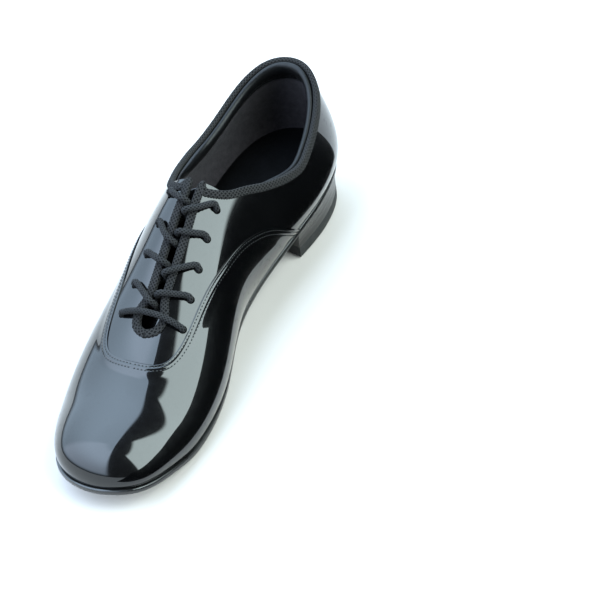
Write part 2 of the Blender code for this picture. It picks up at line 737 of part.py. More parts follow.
def lining_share(grid):
    """How far up each column the lining goes: short under the collar pad, full at the facings."""
    collar = len(COLLAR_STATIONS)
    count = len(grid)
    share = np.full(count, 0.955)
    for i in range(count):
        place = min(i, count - i)
        if place < collar:
            share[i] = 1 - COLLAR_PAD_DROP - pad_share(grid, i) * (1 + 1.4 / COLLAR_PAD_HEIGHT)
        elif place < collar + len(CORNER):
            share[i] = 0.86 + 0.03 * (place - collar)
    return share


def make_binding(edge, below):
    """Folded ribbon round the whole opening, over the edge of the quarter."""
    top = surface(edge[:, 0], edge[:, 1])
    normal = surface_normal(edge[:, 0], edge[:, 1])
    count = len(edge)
    stations = []
    for i in range(count):
        before = top[i] - top[i - 1]
        after = top[(i + 1) % count] - top[i]
        before /= np.linalg.norm(before)
        after /= np.linalg.norm(after)
        tangent = before + after
        mitre = min(2.0 / np.linalg.norm(tangent), 1.6)
        tangent /= np.linalg.norm(tangent)
        down = np.cross(tangent, normal[i])
        down /= np.linalg.norm(down)
        inward = surface(below[i, 0], below[i, 1]) - top[i]
        if np.dot(down, inward) < 0:
            down = -down
        stations.append([top[i] + down * w * mitre + normal[i] * n for w, n in BINDING_PROFILE])
    stations = np.array(stations)
    bm = bmesh.new()
    rings = [[bm.verts.new(Vector(p) * MM) for p in ring] for ring in stations]
    size = len(BINDING_PROFILE)
    for i in range(count):
        for j in range(size):
            after = (j + 1) % size
            bm.faces.new([rings[i][j], rings[i - 1][j], rings[i - 1][after], rings[i][after]])
    return finish_mesh("topline_binding", bm, GROSGRAIN, smooth_angle=0.9)


def make_collar_pad(grid):
    """Padded band inside the top edge, from one facing corner round the heel to the other."""
    reach = len(COLLAR_STATIONS) - 1
    count = len(grid)
    outer, inner = [], []
    for i in [k % count for k in range(-reach, reach + 1)]:
        edge = grid[i, -1]
        low = grid[i, 0]
        columns_outer, columns_inner = [], []
        for place, thickness in ((0.0, 2.2), (0.25, 4.6), (0.60, 4.4), (1.0, 0.8)):
            drop = COLLAR_PAD_DROP + pad_share(grid, i) * place
            around, up = edge + (low - edge) * drop
            spot = (np.array(around), np.array(up))
            columns_outer.append(layer(*spot, 3.0))
            columns_inner.append(layer(*spot, 3.0 + thickness))
        outer.append(columns_outer)
        inner.append(columns_inner)
    return lattice_solid("collar_padding", [outer, inner], BLACK_LEATHER)


def make_counter(grid):
    """Stiff cup round the heel, between quarter and lining."""
    reach = 10
    count = len(grid)
    order = [i % count for i in range(-reach, reach + 1)]
    return shell("heel_counter", grid[order][:, :4], COUNTER_DEPTH, STIFFENER)


def vamp_grid(start, end, steps):
    """(around, up) between two shares of the way forward, across from inner to outer side.

    start and end give, for a height on the seam, the station where the piece starts and ends.
    """
    grid = []
    for share in np.linspace(0, 1, steps + 1):
        row = []
        for side in (1.0, -1.0):
            half = []
            for height in SEAM_ROWS:
                first, first_up = start(height)
                last, last_up = end(height)
                half.append((side * (first + (last - first) * share),
                             first_up + (last_up - first_up) * share))
            row += half if side > 0 else half[-2::-1]
        grid.append(row)
    return np.array(grid)


def make_vamp():
    rear_end = float(station_of(VAMP_SPLIT_DEPTH - 0.3))
    front_start = float(station_of(VAMP_SPLIT_DEPTH + 0.3))
    rear = vamp_grid(lambda up: seam_point(up, 1), lambda up: (rear_end, up), 7)
    front = vamp_grid(lambda up: (front_start, up), lambda up: (1.0, up), 7)
    shell("vamp_rear", rear, (0.0, LEATHER), PATENT)
    shell("vamp_lining_rear", rear, LINING_DEPTH, LINING_CLOTH)
    return {"vamp_forepart": shell("vamp_forepart", front, (0.0, LEATHER), PATENT),
            "vamp_lining_forepart": shell("vamp_lining_forepart", front, LINING_DEPTH,
                                          LINING_CLOTH),
            "toe_puff": shell("toe_puff", front[-4:], COUNTER_DEPTH, STIFFENER)}


def make_tongue():
    """Tongue and its lining, under the facings, with a rounded top end."""
    depths = np.array([122.5, 124.0, 127.0, 133, 145, 160, 175, 190, 200, 208.6])
    reach = np.array([10.0, 14.0, 17.0, 19.5, 20.5, 21.0, 21.5, 22.0, 21.0, 19.0])
    rows = []
    for depth, wide in zip(depths, reach):
        station = float(station_of(depth))
        row = []
        for side in (1.0, -1.0):
            edge = arch_up(station, side, wide)
            half = [(side * station, edge + (1 - edge) * share)
                    for share in np.linspace(0, 1, 5)]
            row += half if side > 0 else half[-2::-1]
        rows.append(row)
    grid = np.array(rows)
    outer = [tongue_layer(grid, depth) for depth in TONGUE_DEPTH]
    under = [tongue_layer(grid, depth) for depth in TONGUE_LINING_DEPTH]
    return {"tongue": lattice_solid("tongue", outer, BLACK_LEATHER),
            "tongue_lining": lattice_solid("tongue_lining", under, LINING_CLOTH)}


def tongue_layer(grid, depth):
    """Arched surface under the facings, moved towards an axis 30 mm below the ridge."""
    point = surface(grid[..., 0], grid[..., 1], True)
    crest = surface(grid[..., 0], np.ones(grid.shape[:-1]), True)
    axis = crest - np.array([0.0, 0.0, 30.0])
    out = point - axis
    out[..., 1] = 0.0
    out /= np.linalg.norm(out, axis=-1, keepdims=True)
    return point - depth * out


def arch_up(station, side, offset):
    ups = np.linspace(0.3, 1.0, 141)
    line = surface(np.full(ups.shape, side * station), ups, True)
    beside = (line[:, 0] - ridge_x(depth_of(station))) * side
    order = np.argsort(beside)
    return float(np.interp(offset, beside[order], ups[order]))


# ---- lace ----------------------------------------------------------------------------------------
LACE_OVER = 2.2                 # centre of the lace above the leather
LACE_OVER_EDGE = 3.7            # the same where it crosses the binding
LACE_UNDER = 6.2                # centre of the lace below the outside surface, under the facing
THROAT_SIDESTEP = 2.3           # the two strands come up this far apart on each side


def beside_ridge(depth, offset, lift):
    """Point `offset` mm beside the ridge (+ inner side) and `lift` mm above the leather."""
    side = 1.0 if offset >= 0 else -1.0
    station = float(station_of(depth))
    up = arch_up(station, side, abs(offset))
    spot = (np.array(side * station), np.array(up))
    return surface(*spot, True) + lift * surface_normal(*spot, True)


def eyelet_depth(number):
    return EYELET_FIRST + number * EYELET_PITCH


def into_eyelet(number, side):
    """The lace over the facing, into the eyelet from above and out below it."""
    depth = eyelet_depth(number)
    out = EYELET_OUT[number]
    return [beside_ridge(depth, side * (out - 2.6), LACE_OVER),
            beside_ridge(depth, side * (out - 0.5), LACE_OVER - 0.9),
            beside_ridge(depth, side * out, -1.2),
            beside_ridge(depth, side * (out - 0.3), -LACE_UNDER + 1.9)]


def strand(side):
    """Half of the laced part: from the middle of the bottom bar to below the top eyelet.

    The strand dives into the bottom eyelet, runs under its facing, comes up in the gap and
    crosses over the other facing to the next eyelet up.
    """
    bottom = len(EYELET_OUT) - 1
    depth = eyelet_depth(bottom)
    points = [beside_ridge(depth, side * 5.0, LACE_OVER_EDGE + 0.6),
              beside_ridge(depth, side * 10.5, LACE_OVER_EDGE - 0.3)]
    points += into_eyelet(bottom, side)
    here = side
    for number in range(bottom - 1, -1, -1):
        middle = eyelet_depth(number) + EYELET_PITCH * 0.5 + side * THROAT_SIDESTEP
        low = eyelet_depth(number + 1)
        out = EYELET_OUT[number + 1]
        points += [beside_ridge(low - 1.5, here * (out - 3.5), -LACE_UNDER),
                   beside_ridge(0.4 * low + 0.6 * middle, here * out * 0.38, -LACE_UNDER),
                   beside_ridge(middle + 0.4, here * 1.2, -LACE_UNDER + 0.9),
                   beside_ridge(middle, here * 0.1, -2.4),
                   beside_ridge(middle - 0.2, -here * 0.1, 0.9),
                   beside_ridge(middle - 0.8, -here * 1.9, LACE_OVER_EDGE),
                   beside_ridge(0.65 * middle + 0.35 * eyelet_depth(number), -here * 5.6,
                                LACE_OVER_EDGE - 0.2)]
        here = -here
        points += into_eyelet(number, here)
    points.append(beside_ridge(eyelet_depth(0), here * (EYELET_OUT[0] + 0.6), -LACE_UNDER))
    return points, here


def inside_wall(depth, up, side, clearance):
    """Point inside the shoe, `clearance` mm in from the outside surface."""
    station = float(station_of(depth))
    spot = (np.array(side * station), np.array(up))
    return surface(*spot) - clearance * surface_normal(*spot)


def tail_route(side):
    """The loose end: past the tongue, down the wall, along the footbed and back on itself."""
    floor = SOLE_THICKNESS + BOARD_LIFT + BOARD_THICKNESS + FACET_GAP + SOCK_THICKNESS
    top_up = up_at_offset(float(station_of(EYELET_FIRST)), side, EYELET_OUT[0])
    wall = [(EYELET_FIRST + 0.3, top_up - 0.055), (EYELET_FIRST + 1.5, top_up - 0.14),
            (EYELET_FIRST + 4, 0.50), (EYELET_FIRST + 8, 0.36), (EYELET_FIRST + 13, 0.25)]
    points = [inside_wall(depth, up, side, LACE_UNDER + 0.1 + 0.3 * i)
              for i, (depth, up) in enumerate(wall)]
    bed = [(153, 11.5), (160, 12.0), (168, 12.0), (175, 13.5), (180, 17.5), (180.5, 23.0),
           (176, 27.5), (169, 28.5), (161, 27.5)]
    for depth, inset in bed:
        around = side * float(station_of(depth))
        x = float(feather_x(around)) - side * inset
        z = float(sole_bottom(depth)) + floor + LACE_RADIUS + 1.9
        points.append(np.array([x, HEEL_BACK_Y - depth, z]))
    return points


def make_lace():
    inner, end_side = strand(1.0)
    outer, _ = strand(-1.0)
    middle = beside_ridge(eyelet_depth(len(EYELET_OUT) - 1), 0.0, LACE_OVER_EDGE + 0.8)
    path = smooth_path(list(reversed(inner)) + [middle] + outer, 3.2)
    tube("lace", path, LACE_RADIUS, LACE_BRAID)
    for side, name in ((1.0, "inner"), (-1.0, "outer")):
        laced = inner if end_side == side else outer
        start = laced[-1]
        route = tail_route(side)
        away = route[0] - start
        away /= np.linalg.norm(away)
        full = smooth_path([start + away * 2.2] + route, 6.0)
        tube("lace_tail_" + name, full, LACE_RADIUS, LACE_BRAID)
        direction = full[-1] - full[-2]
        direction /= np.linalg.norm(direction)
        turned_solid("aglet_" + name, ((1.5, GAP), (1.8, 1.2), (1.8, 11.0), (1.4, 12.0)),
                     full[-1], direction, CLEAR_FILM, sides=8)


# ---- assembly ------------------------------------------------------------------------------------
def hinge_empty(name, depth, height, pieces):
    """Empty on the hinge axis, which its pieces hang from."""
    empty = bpy.data.objects.new(name, None)
    empty.location = Vector((PLAN_SHIFT[0], HEEL_BACK_Y - depth + PLAN_SHIFT[1], height)) * MM
    bpy.context.scene.collection.objects.link(empty)
    bpy.context.view_layer.update()
    for obj in pieces.values():
        obj.parent = empty
        obj.matrix_parent_inverse = empty.matrix_world.inverted()


def centre_in_plan(objects):
    """Move all pieces so that the origin is the middle of the shoe's outline on the ground."""
    for obj in objects:
        obj.data.transform(Matrix.Translation((PLAN_SHIFT[0] * MM, PLAN_SHIFT[1] * MM, 0.0)))


def main():
    for obj in list(bpy.data.objects):
        bpy.data.objects.remove(obj)
    bottom = make_bottom()
    rear = bottom.pop("outsole_rear")
    rear.data.name = "outsole_rear"
    make_heel()
    forepart = dict(bottom)
    forepart.update(make_toe_tap(bottom["outsole_forepart"]))
    make_quarter()
    forepart.update(make_vamp())
    tongue = make_tongue()
    make_lace()
    centre_in_plan(list(bpy.data.objects))
    hinge_empty("ball_flex_axis", FLEX_DEPTH, FLEX_HEIGHT, forepart)
    crest = float(feather_z(TONGUE_HINGE_DEPTH)
                  + abs(ridge_rise(station_of(TONGUE_HINGE_DEPTH)))) - TONGUE_DEPTH[1]
    hinge_empty("tongue_hinge_axis", TONGUE_HINGE_DEPTH, crest, tongue)


main()
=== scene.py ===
"""Finished look of the lace-up tap shoe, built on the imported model's frame."""
import math

import bmesh
import bpy
import numpy as np
from mathutils import Matrix, Vector


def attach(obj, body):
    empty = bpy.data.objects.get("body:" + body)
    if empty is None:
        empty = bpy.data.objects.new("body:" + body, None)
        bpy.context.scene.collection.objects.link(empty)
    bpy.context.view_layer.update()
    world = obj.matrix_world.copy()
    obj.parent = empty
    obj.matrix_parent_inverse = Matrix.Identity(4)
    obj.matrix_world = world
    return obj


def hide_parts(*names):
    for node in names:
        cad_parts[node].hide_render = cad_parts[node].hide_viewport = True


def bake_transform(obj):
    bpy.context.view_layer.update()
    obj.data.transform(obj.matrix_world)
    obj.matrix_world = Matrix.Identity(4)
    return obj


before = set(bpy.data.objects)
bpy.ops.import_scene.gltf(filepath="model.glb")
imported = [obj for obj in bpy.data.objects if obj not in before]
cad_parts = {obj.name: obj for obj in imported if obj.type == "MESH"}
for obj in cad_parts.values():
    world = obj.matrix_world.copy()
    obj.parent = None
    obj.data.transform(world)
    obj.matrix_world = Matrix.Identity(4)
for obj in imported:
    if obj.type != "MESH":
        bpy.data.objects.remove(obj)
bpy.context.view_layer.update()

MM = 0.001
SHARP = 0.6                     # edges that turn more than this (radians) are shaded sharp
SMOOTH = 3.0                    # the same for pieces with no sharp edge

# ---- driving dimensions, shared with the CAD (mm) ----------------------------------------------
FEATHER_LENGTH = 286.0          # heel back to toe tip where the upper meets the sole
HEEL_BACK_Y = 142.0             # y of the feather line at the heel back
PLAN_SHIFT = (2.35, 1.15)       # puts the origin under the middle of the outline
GAP = 0.35                      # clearance between neighbouring pieces
FACET_GAP = 0.6                 # clearance between curved pieces built from flat facets
SOLE_THICKNESS = 3.5
BOARD_LIFT = 2.6                # outsole top to the underside of the insole board
BOARD_THICKNESS = 1.8
SOCK_THICKNESS = 1.0
TAP_THICKNESS = 2.5
TOP_PIECE_THICKNESS = 5.0
TAP_PROUD = 0.7                 # how far the heel tap stands out of its recess
LEATHER = 1.2                   # upper leather
COUNTER_DEPTH = (1.6, 2.3)      # heel counter and toe puff, measured in from the outside
LINING_DEPTH = (2.95, 3.6)
TONGUE_DEPTH = (10.8, 11.9)
TONGUE_LINING_DEPTH = (12.5, 13.3)
EYELET_FIRST = 131.8            # depth of the top pair of eyelets
EYELET_PITCH = 15.8
EYELET_OUT = (13.8, 14.4, 15.5, 16.8, 18.3)   # ridge to eyelet, top pair first
LACE_RADIUS = 1.8
VAMP_SPLIT_DEPTH = 226.0        # where the vamp is parted so that the forepart can bend
HEEL_BREAST_DEPTH = 77.0

# ---- the last: values at eleven stations from the heel back (0) to the toe tip (10) -------
INNER_FEATHER = (0, 18, 29, 31, 25, 22, 34, 39, 35, 25, 4)
OUTER_FEATHER = (0, 18, 29, 33, 35, 38, 44, 42, 32, 17, 0)
INNER_SWELL = (3, 4, 5, 6, 9, 12, 8, 5, 4.5, 3, 0)
OUTER_SWELL = (3, 4, 5, 5.5, 6, 6, 5, 4, 3.5, 3, 0)
RIDGE_RISE = (0, 40, 80, 92, 88, 74, 53.5, 36, 27, 16, 0)
INNER_COLLAR_X = (0, 14.5, 25, 30.5, 28, 2, 1, 1, 3, 4, 4)
OUTER_COLLAR_X = (0, 14.5, 25.5, 31, 28, 2, 0, 0, 0, 0, 0)
COLLAR_DEPTH = (5, 11.5, 30, 62, 101, 143, 187, 227, 259, 279, 286)
COLLAR_Z = (91, 89, 80, 73, 79, 85, 60, 45, 38, 30, 17)

# ---- curves along the shoe: (depth, value) -------------------------------------------------
SOLE_BOTTOM = ((0, 24.5), (35, 24.0), (65, 21.8), (95, 16.6), (130, 9.4), (160, 4.4),
               (180, 2.75), (196, 2.5), (233, 2.5), (256, 6.6), (286, 12.8))
RIDGE_X = ((0, 0), (100, 0.5), (143, 0.0), (187, 0.5), (227, 1.5), (260, 3.0), (286, 4))
SOLE_MARGIN = ((0, 0.5), (60, 0.5), (110, 0.0), (190, 0.3), (230, 1.1), (286, 1.7))
FACING_HALF_GAP = ((118, 3.6), (150, 3.4), (180, 3.4), (187, 3.9), (191.5, 5.8), (195.8, 6.6),
                   (200, 5.6), (202.5, 3.4), (203.6, 0))

# ---- lines on the upper --------------------------------------------------------------------
# Top edge of the quarter: (station 0..1, share of the way up).
TOPLINE = ((0, 0.915), (0.1, 0.915), (0.18, 0.914), (0.22, 0.902), (0.26, 0.880), (0.30, 0.860),
           (0.34, 0.785), (0.37, 0.69), (0.40, 0.63), (0.43, 0.64), (0.447, 0.69), (0.458, 0.755))
# Seam of quarter and vamp: (share of the way up, station 0..1).
SEAM = ((0, 0.345), (0.1, 0.360), (0.2, 0.381), (0.3, 0.412), (0.36, 0.448), (0.43, 0.484),
        (0.50, 0.517), (0.58, 0.552), (0.63, 0.586), (0.655, 0.617), (0.685, 0.645),
        (0.73, 0.666), (0.81, 0.677), (0.9, 0.681), (1, 0.682))
SEAM_ROWS = (0, 0.1, 0.2, 0.3, 0.36, 0.43, 0.50, 0.58, 0.63, 0.655, 0.685, 0.73, 0.81, 0.9, 1.0)
COLLAR_STATIONS = (0, 0.035, 0.07, 0.105, 0.14, 0.18, 0.22, 0.26, 0.30, 0.34, 0.37, 0.40, 0.43)
CORNER = ((0.447, 0.69), (0.4585, 0.765), (0.4655, 0.86))
FACING_DEPTHS = (126, 148, 170, 182.5, 188.5, 192, 195.8, 199.2, 201.4, 202.9, 203.6)

STATION_SPAN = 430.0            # rough length in mm of one unit of station, and of one column
COLUMN_SPAN = 80.0


# ---- smooth curves ---------------------------------------------------------------------------
def unit(vectors):
    length = np.linalg.norm(vectors, axis=-1, keepdims=True)
    return vectors / np.maximum(length, 1e-9)


def run_length(points):
    """Distance along a line of points, from its first point."""
    steps = np.linalg.norm(np.diff(points, axis=0), axis=1)
    return np.concatenate([[0], np.cumsum(steps)])


def sample(marks, length, values):
    """Rows of values taken at the given marks along a line."""
    return np.stack([np.interp(marks, length, column) for column in np.asarray(values).T], -1)


def ring_curve(inner, outer, mirrored):
    """Periodic cubic spline around the shoe; mirrored values change sign on the outer side."""
    sign = -1.0 if mirrored else 1.0
    values = np.array(list(inner) + [sign * value for value in outer[-2:0:-1]], float)
    count = len(values)
    step = 2.0 / count
    matrix = np.zeros((count, count))
    rhs = np.zeros(count)
    for i in range(count):
        after = (i + 1) % count
        matrix[i, i - 1] = step / 6
        matrix[i, i] = 4 * step / 6
        matrix[i, after] = step / 6
        rhs[i] = (values[after] - 2 * values[i] + values[i - 1]) / step
    bend = np.linalg.solve(matrix, rhs)

    def curve(around):
        around = np.mod(np.asarray(around, float), 2.0)
        i = np.minimum((around / step).astype(int), count - 1)
        after = (i + 1) % count
        right = around - i * step
        left = step - right
        return (bend[i] * left ** 3 / (6 * step) + bend[after] * right ** 3 / (6 * step)
                + (values[i] / step - bend[i] * step / 6) * left
                + (values[after] / step - bend[after] * step / 6) * right)
    return curve


def run_curve(points):
    """Smooth curve through (place, value) points that never overshoots between them."""
    place = np.array([p[0] for p in points], float)
    value = np.array([p[1] for p in points], float)
    width = np.diff(place)
    rise = np.diff(value) / width
    slope = np.zeros(len(place))
    for i in range(1, len(place) - 1):
        if rise[i - 1] * rise[i] > 0:
            before = 2 * width[i] + width[i - 1]
            after = width[i] + 2 * width[i - 1]
            slope[i] = (before + after) / (before / rise[i - 1] + after / rise[i])
    slope[0] = rise[0]
    slope[-1] = rise[-1]

    def curve(at):
        at = np.clip(np.asarray(at, float), place[0], place[-1])
        i = np.clip(np.searchsorted(place, at, side="right") - 1, 0, len(place) - 2)
        t = (at - place[i]) / width[i]
        return (value[i] * (1 + 2 * t) * (1 - t) ** 2 + slope[i] * width[i] * t * (1 - t) ** 2
                + value[i + 1] * t * t * (3 - 2 * t)
                + slope[i + 1] * width[i] * t * t * (t - 1))
    return curve


def smoothstep(value, start, end):
    share = np.clip((value - start) / (end - start), 0, 1)
    return share ** 3 * (share * (6 * share - 15) + 10)


def soft_curve(points, reach):
    """run_curve with its bends spread over about `reach`; the ends keep their values."""
    sharp = run_curve(points)
    start, end = points[0][0], points[-1][0]
    place = np.linspace(start, end, 90)
    value = np.zeros(place.shape)
    total = 0.0
    for offset in np.linspace(-2, 2, 33):
        weight = float(np.exp(-0.5 * offset ** 2))
        at = place + offset * reach
        seen = np.where(at < start, 2 * sharp(start) - sharp(2 * start - at),
                        np.where(at > end, 2 * sharp(end) - sharp(2 * end - at), sharp(at)))
        value += weight * seen
        total += weight
    return run_curve(list(zip(place, value / total)))


def rounded_seam(points, reach):
    """The seam's station for a height, with its corners rounded over about `reach` mm."""
    sharp = run_curve(points)
    up = np.linspace(0, 1, 300)
    line = np.stack([sharp(up) * STATION_SPAN, up * COLUMN_SPAN], -1)
    before = 2 * line[0] - line[:0:-1]
    over = line[-2::-1] * (1, -1) + (0, 2 * COLUMN_SPAN)
    whole = np.concatenate([before, line, over])
    run = run_length(whole)
    even = sample(np.arange(0, run[-1], 0.5), run, whole)
    offsets = np.arange(-int(6 * reach), int(6 * reach) + 1) * 0.5
    weights = np.exp(-0.5 * (offsets / reach) ** 2)
    weights /= weights.sum()
    soft = np.stack([np.convolve(even[:, k], weights, "same") for k in range(2)], -1)
    heights = soft[:, 1] / COLUMN_SPAN
    places = soft[:, 0] / STATION_SPAN
    inside = (heights > -0.02) & (heights < 1.02)
    marks = np.linspace(0, 1, 120)
    return run_curve(list(zip(marks, np.interp(marks, heights[inside], places[inside]))))


feather_x = ring_curve(INNER_FEATHER, OUTER_FEATHER, True)
swell = ring_curve(INNER_SWELL, OUTER_SWELL, False)
ridge_rise = ring_curve(RIDGE_RISE, RIDGE_RISE, True)
collar_x = ring_curve(INNER_COLLAR_X, OUTER_COLLAR_X, True)
collar_depth = ring_curve(COLLAR_DEPTH, COLLAR_DEPTH, False)
collar_z = ring_curve(COLLAR_Z, COLLAR_Z, False)
sole_bottom = soft_curve(SOLE_BOTTOM, 5.0)
sole_margin = soft_curve(SOLE_MARGIN, 8.0)
ridge_x = soft_curve(RIDGE_X, 9.0)
topline = soft_curve(TOPLINE, 0.014)
seam_station = rounded_seam(SEAM, 4.5)
half_gap = run_curve(FACING_HALF_GAP)


def depth_of(station):
    return FEATHER_LENGTH * (1 - np.cos(np.pi * np.asarray(station, float))) / 2


def station_of(depth):
    return np.arccos(np.clip(1 - 2 * np.asarray(depth, float) / FEATHER_LENGTH, -1, 1)) / np.pi


def feather_z(depth):
    return sole_bottom(depth) + SOLE_THICKNESS + FACET_GAP


# ---- the outside surface of the upper ----------------------------------------------------------
def outward(around):
    """Unit direction in plan, (x, depth), that points out of the feather line."""
    step = 1e-3
    dx = feather_x(around + step) - feather_x(around - step)
    dd = depth_of(around + step) - depth_of(around - step)
    length = np.hypot(dx, dd)
    return dd / length, -dx / length


def column(around, arch):
    """Four Bezier points of the column at `around`: -1..1, 0 heel back, +-1 toe, + inner side.

    Behind the throat a column ends on the collar; ahead of it, on the ridge of the last.
    `arch` makes every column end on the ridge.
    """
    around = np.asarray(around, float)
    station = np.abs(around)
    depth = depth_of(station)
    foot_z = feather_z(depth)
    foot_x = feather_x(around)
    side = np.where(around >= 0, 1.0, -1.0)
    out_x, out_d = outward(around)
    bulge = swell(around)
    foot = np.stack([foot_x, depth, foot_z], -1)
    top = np.stack([collar_x(around), collar_depth(around), collar_z(around)], -1)
    height = top[..., 2] - foot_z
    rear_low = foot + np.stack([out_x * bulge * 1.9, out_d * bulge * 1.9, 0.30 * height], -1)
    lean = np.minimum(bulge, 4.5) * 0.9
    rear_high = top + np.stack([out_x * lean, out_d * lean, -0.32 * height], -1)
    rise = np.abs(ridge_rise(around))
    crest_x = ridge_x(depth)
    crest = np.stack([crest_x, depth, foot_z + rise], -1)
    front_high = np.stack([crest_x + 0.55 * (foot_x - crest_x), depth, foot_z + rise], -1)
    front_low = foot + np.stack([side * bulge * 1.6, 0 * depth, 0.55 * rise], -1)
    front = np.ones_like(station) if arch else smoothstep(station, 0.28, 0.52)
    front = front[..., None]
    return (foot, rear_low * (1 - front) + front_low * front,
            rear_high * (1 - front) + front_high * front, top * (1 - front) + crest * front)


def surface(around, up, arch=False):
    """Point on the outside of the upper, in mm, as (x, y, z); up runs from feather 0 to top 1."""
    c0, c1, c2, c3 = column(around, arch)
    up = np.asarray(up, float)[..., None]
    point = (c0 * (1 - up) ** 3 + 3 * c1 * up * (1 - up) ** 2 + 3 * c2 * up ** 2 * (1 - up)
             + c3 * up ** 3)
    return np.stack([point[..., 0], HEEL_BACK_Y - point[..., 1], point[..., 2]], -1)


def surface_normal(around, up, arch=False):
    step = 1e-4
    around = np.asarray(around, float)
    up = np.asarray(up, float)
    high = np.minimum(up + step, 1.0)
    along_up = surface(around, high, arch) - surface(around, high - 2 * step, arch)
    along_around = surface(around + step, up, arch) - surface(around - step, up, arch)
    cross = np.cross(along_up, along_around)
    length = np.linalg.norm(cross, axis=-1, keepdims=True)
    at_tip = np.abs(around)[..., None] > 0.9995
    tip_normal = np.array([0.0, -1.0, 0.0])
    return np.where(at_tip, tip_normal, cross / np.maximum(length, 1e-12))


def layer(around, up, depth, arch=False):
    """Surface moved inwards by `depth`, kept above the feather line."""
    point = surface(around, up, arch) - depth * surface_normal(around, up, arch)
    floor = feather_z(HEEL_BACK_Y - point[..., 1])
    point[..., 2] = np.maximum(point[..., 2], floor)
    return point


def up_at_offset(station, side, offset, arch=False):
    """Share of the way up at which the column is `offset` mm beside the ridge."""
    ups = np.linspace(0.3, 1.0, 141)
    line = surface(np.full(ups.shape, side * station), ups, arch)
    beside = (line[:, 0] - ridge_x(depth_of(station))) * side
    order = np.argsort(beside)
    return float(np.interp(offset, beside[order], ups[order]))


def catmull_rom(p0, p1, p2, p3, count):
    """Points on the smooth curve from p1 towards p2."""
    return [0.5 * (2 * p1 + (p2 - p0) * t + (2 * p0 - 5 * p1 + 4 * p2 - p3) * t ** 2
                   + (3 * p1 - p0 - 3 * p2 + p3) * t ** 3)
            for t in np.linspace(0, 1, count, endpoint=False)]


def smooth_path(points, spacing):
    """Points every `spacing` mm on a Catmull-Rom curve through the given points."""
    points = [np.array(p, float) for p in points]
    points = [2 * points[0] - points[1]] + points + [2 * points[-1] - points[-2]]
    dense = []
    for span in zip(points, points[1:], points[2:], points[3:]):
        dense += catmull_rom(*span, 12)
    dense.append(points[-2])
    dense = np.array(dense)
    lengths = run_length(dense)
    count = max(2, int(round(lengths[-1] / spacing)) + 1)
    return sample(np.linspace(0, lengths[-1], count), lengths, dense)


def outline_pair(station, margin):
    """Points (x, depth) on the outer and inner side of the feather outline, moved out by margin."""
    pair = []
    for side in (-1.0, 1.0):
        around = side * min(max(station, 1e-4), 1 - 1e-4)
        out_x, out_d = outward(around)
        pair.append((float(feather_x(around) + out_x * margin),
                     float(depth_of(around) + out_d * margin)))
    return pair


def heel_row(station, inset, hollow, across=5):
    """Points (x, depth) across the heel, with the curved breast at its front end."""
    breast = float(station_of(HEEL_BREAST_DEPTH))
    (x0, d0), (x1, d1) = outline_pair(station, float(sole_margin(depth_of(station))) - inset)
    near_breast = (station / breast) ** 3
    row = []
    for share in np.linspace(0, 1, across):
        bow = 1 - (2 * share - 1) ** 2
        row.append((x0 + (x1 - x0) * share,
                    d0 + (d1 - d0) * share - (hollow * bow + inset * 0.5) * near_breast))
    return row


def tongue_layer(grid, depth):
    """Arched surface under the facings, moved towards an axis 30 mm below the ridge."""
    point = surface(grid[..., 0], grid[..., 1], True)
    crest = surface(grid[..., 0], np.ones(grid.shape[:-1]), True)
    axis = crest - np.array([0.0, 0.0, 30.0])
    out = point - axis
    out[..., 1] = 0.0
    return point - depth * unit(out)


# ---- lace --------------------------------------------------------------------------------------
LACE_OVER = 2.2                 # centre of the lace above the leather
LACE_OVER_EDGE = 3.7            # the same where it crosses the binding
LACE_UNDER = 6.2                # centre of the lace below the outside surface, under the facing
THROAT_SIDESTEP = 2.3           # the two strands come up this far apart on each side


def beside_ridge(depth, offset, lift):
    """Point `offset` mm beside the ridge (+ inner side) and `lift` mm above the leather."""
    side = 1.0 if offset >= 0 else -1.0
    station = float(station_of(depth))
    up = up_at_offset(station, side, abs(offset), True)
    spot = (np.array(side * station), np.array(up))
    return surface(*spot, True) + lift * surface_normal(*spot, True)


def eyelet_depth(number):
    return EYELET_FIRST + number * EYELET_PITCH


def into_eyelet(number, side):
    """The lace over the facing, into the eyelet from above and out below it."""
    depth = eyelet_depth(number)
    out = EYELET_OUT[number]
    return [beside_ridge(depth, side * (out - 2.6), LACE_OVER),
            beside_ridge(depth, side * (out - 0.5), LACE_OVER - 0.9),
            beside_ridge(depth, side * out, -1.2),
            beside_ridge(depth, side * (out - 0.3), -LACE_UNDER + 1.9)]


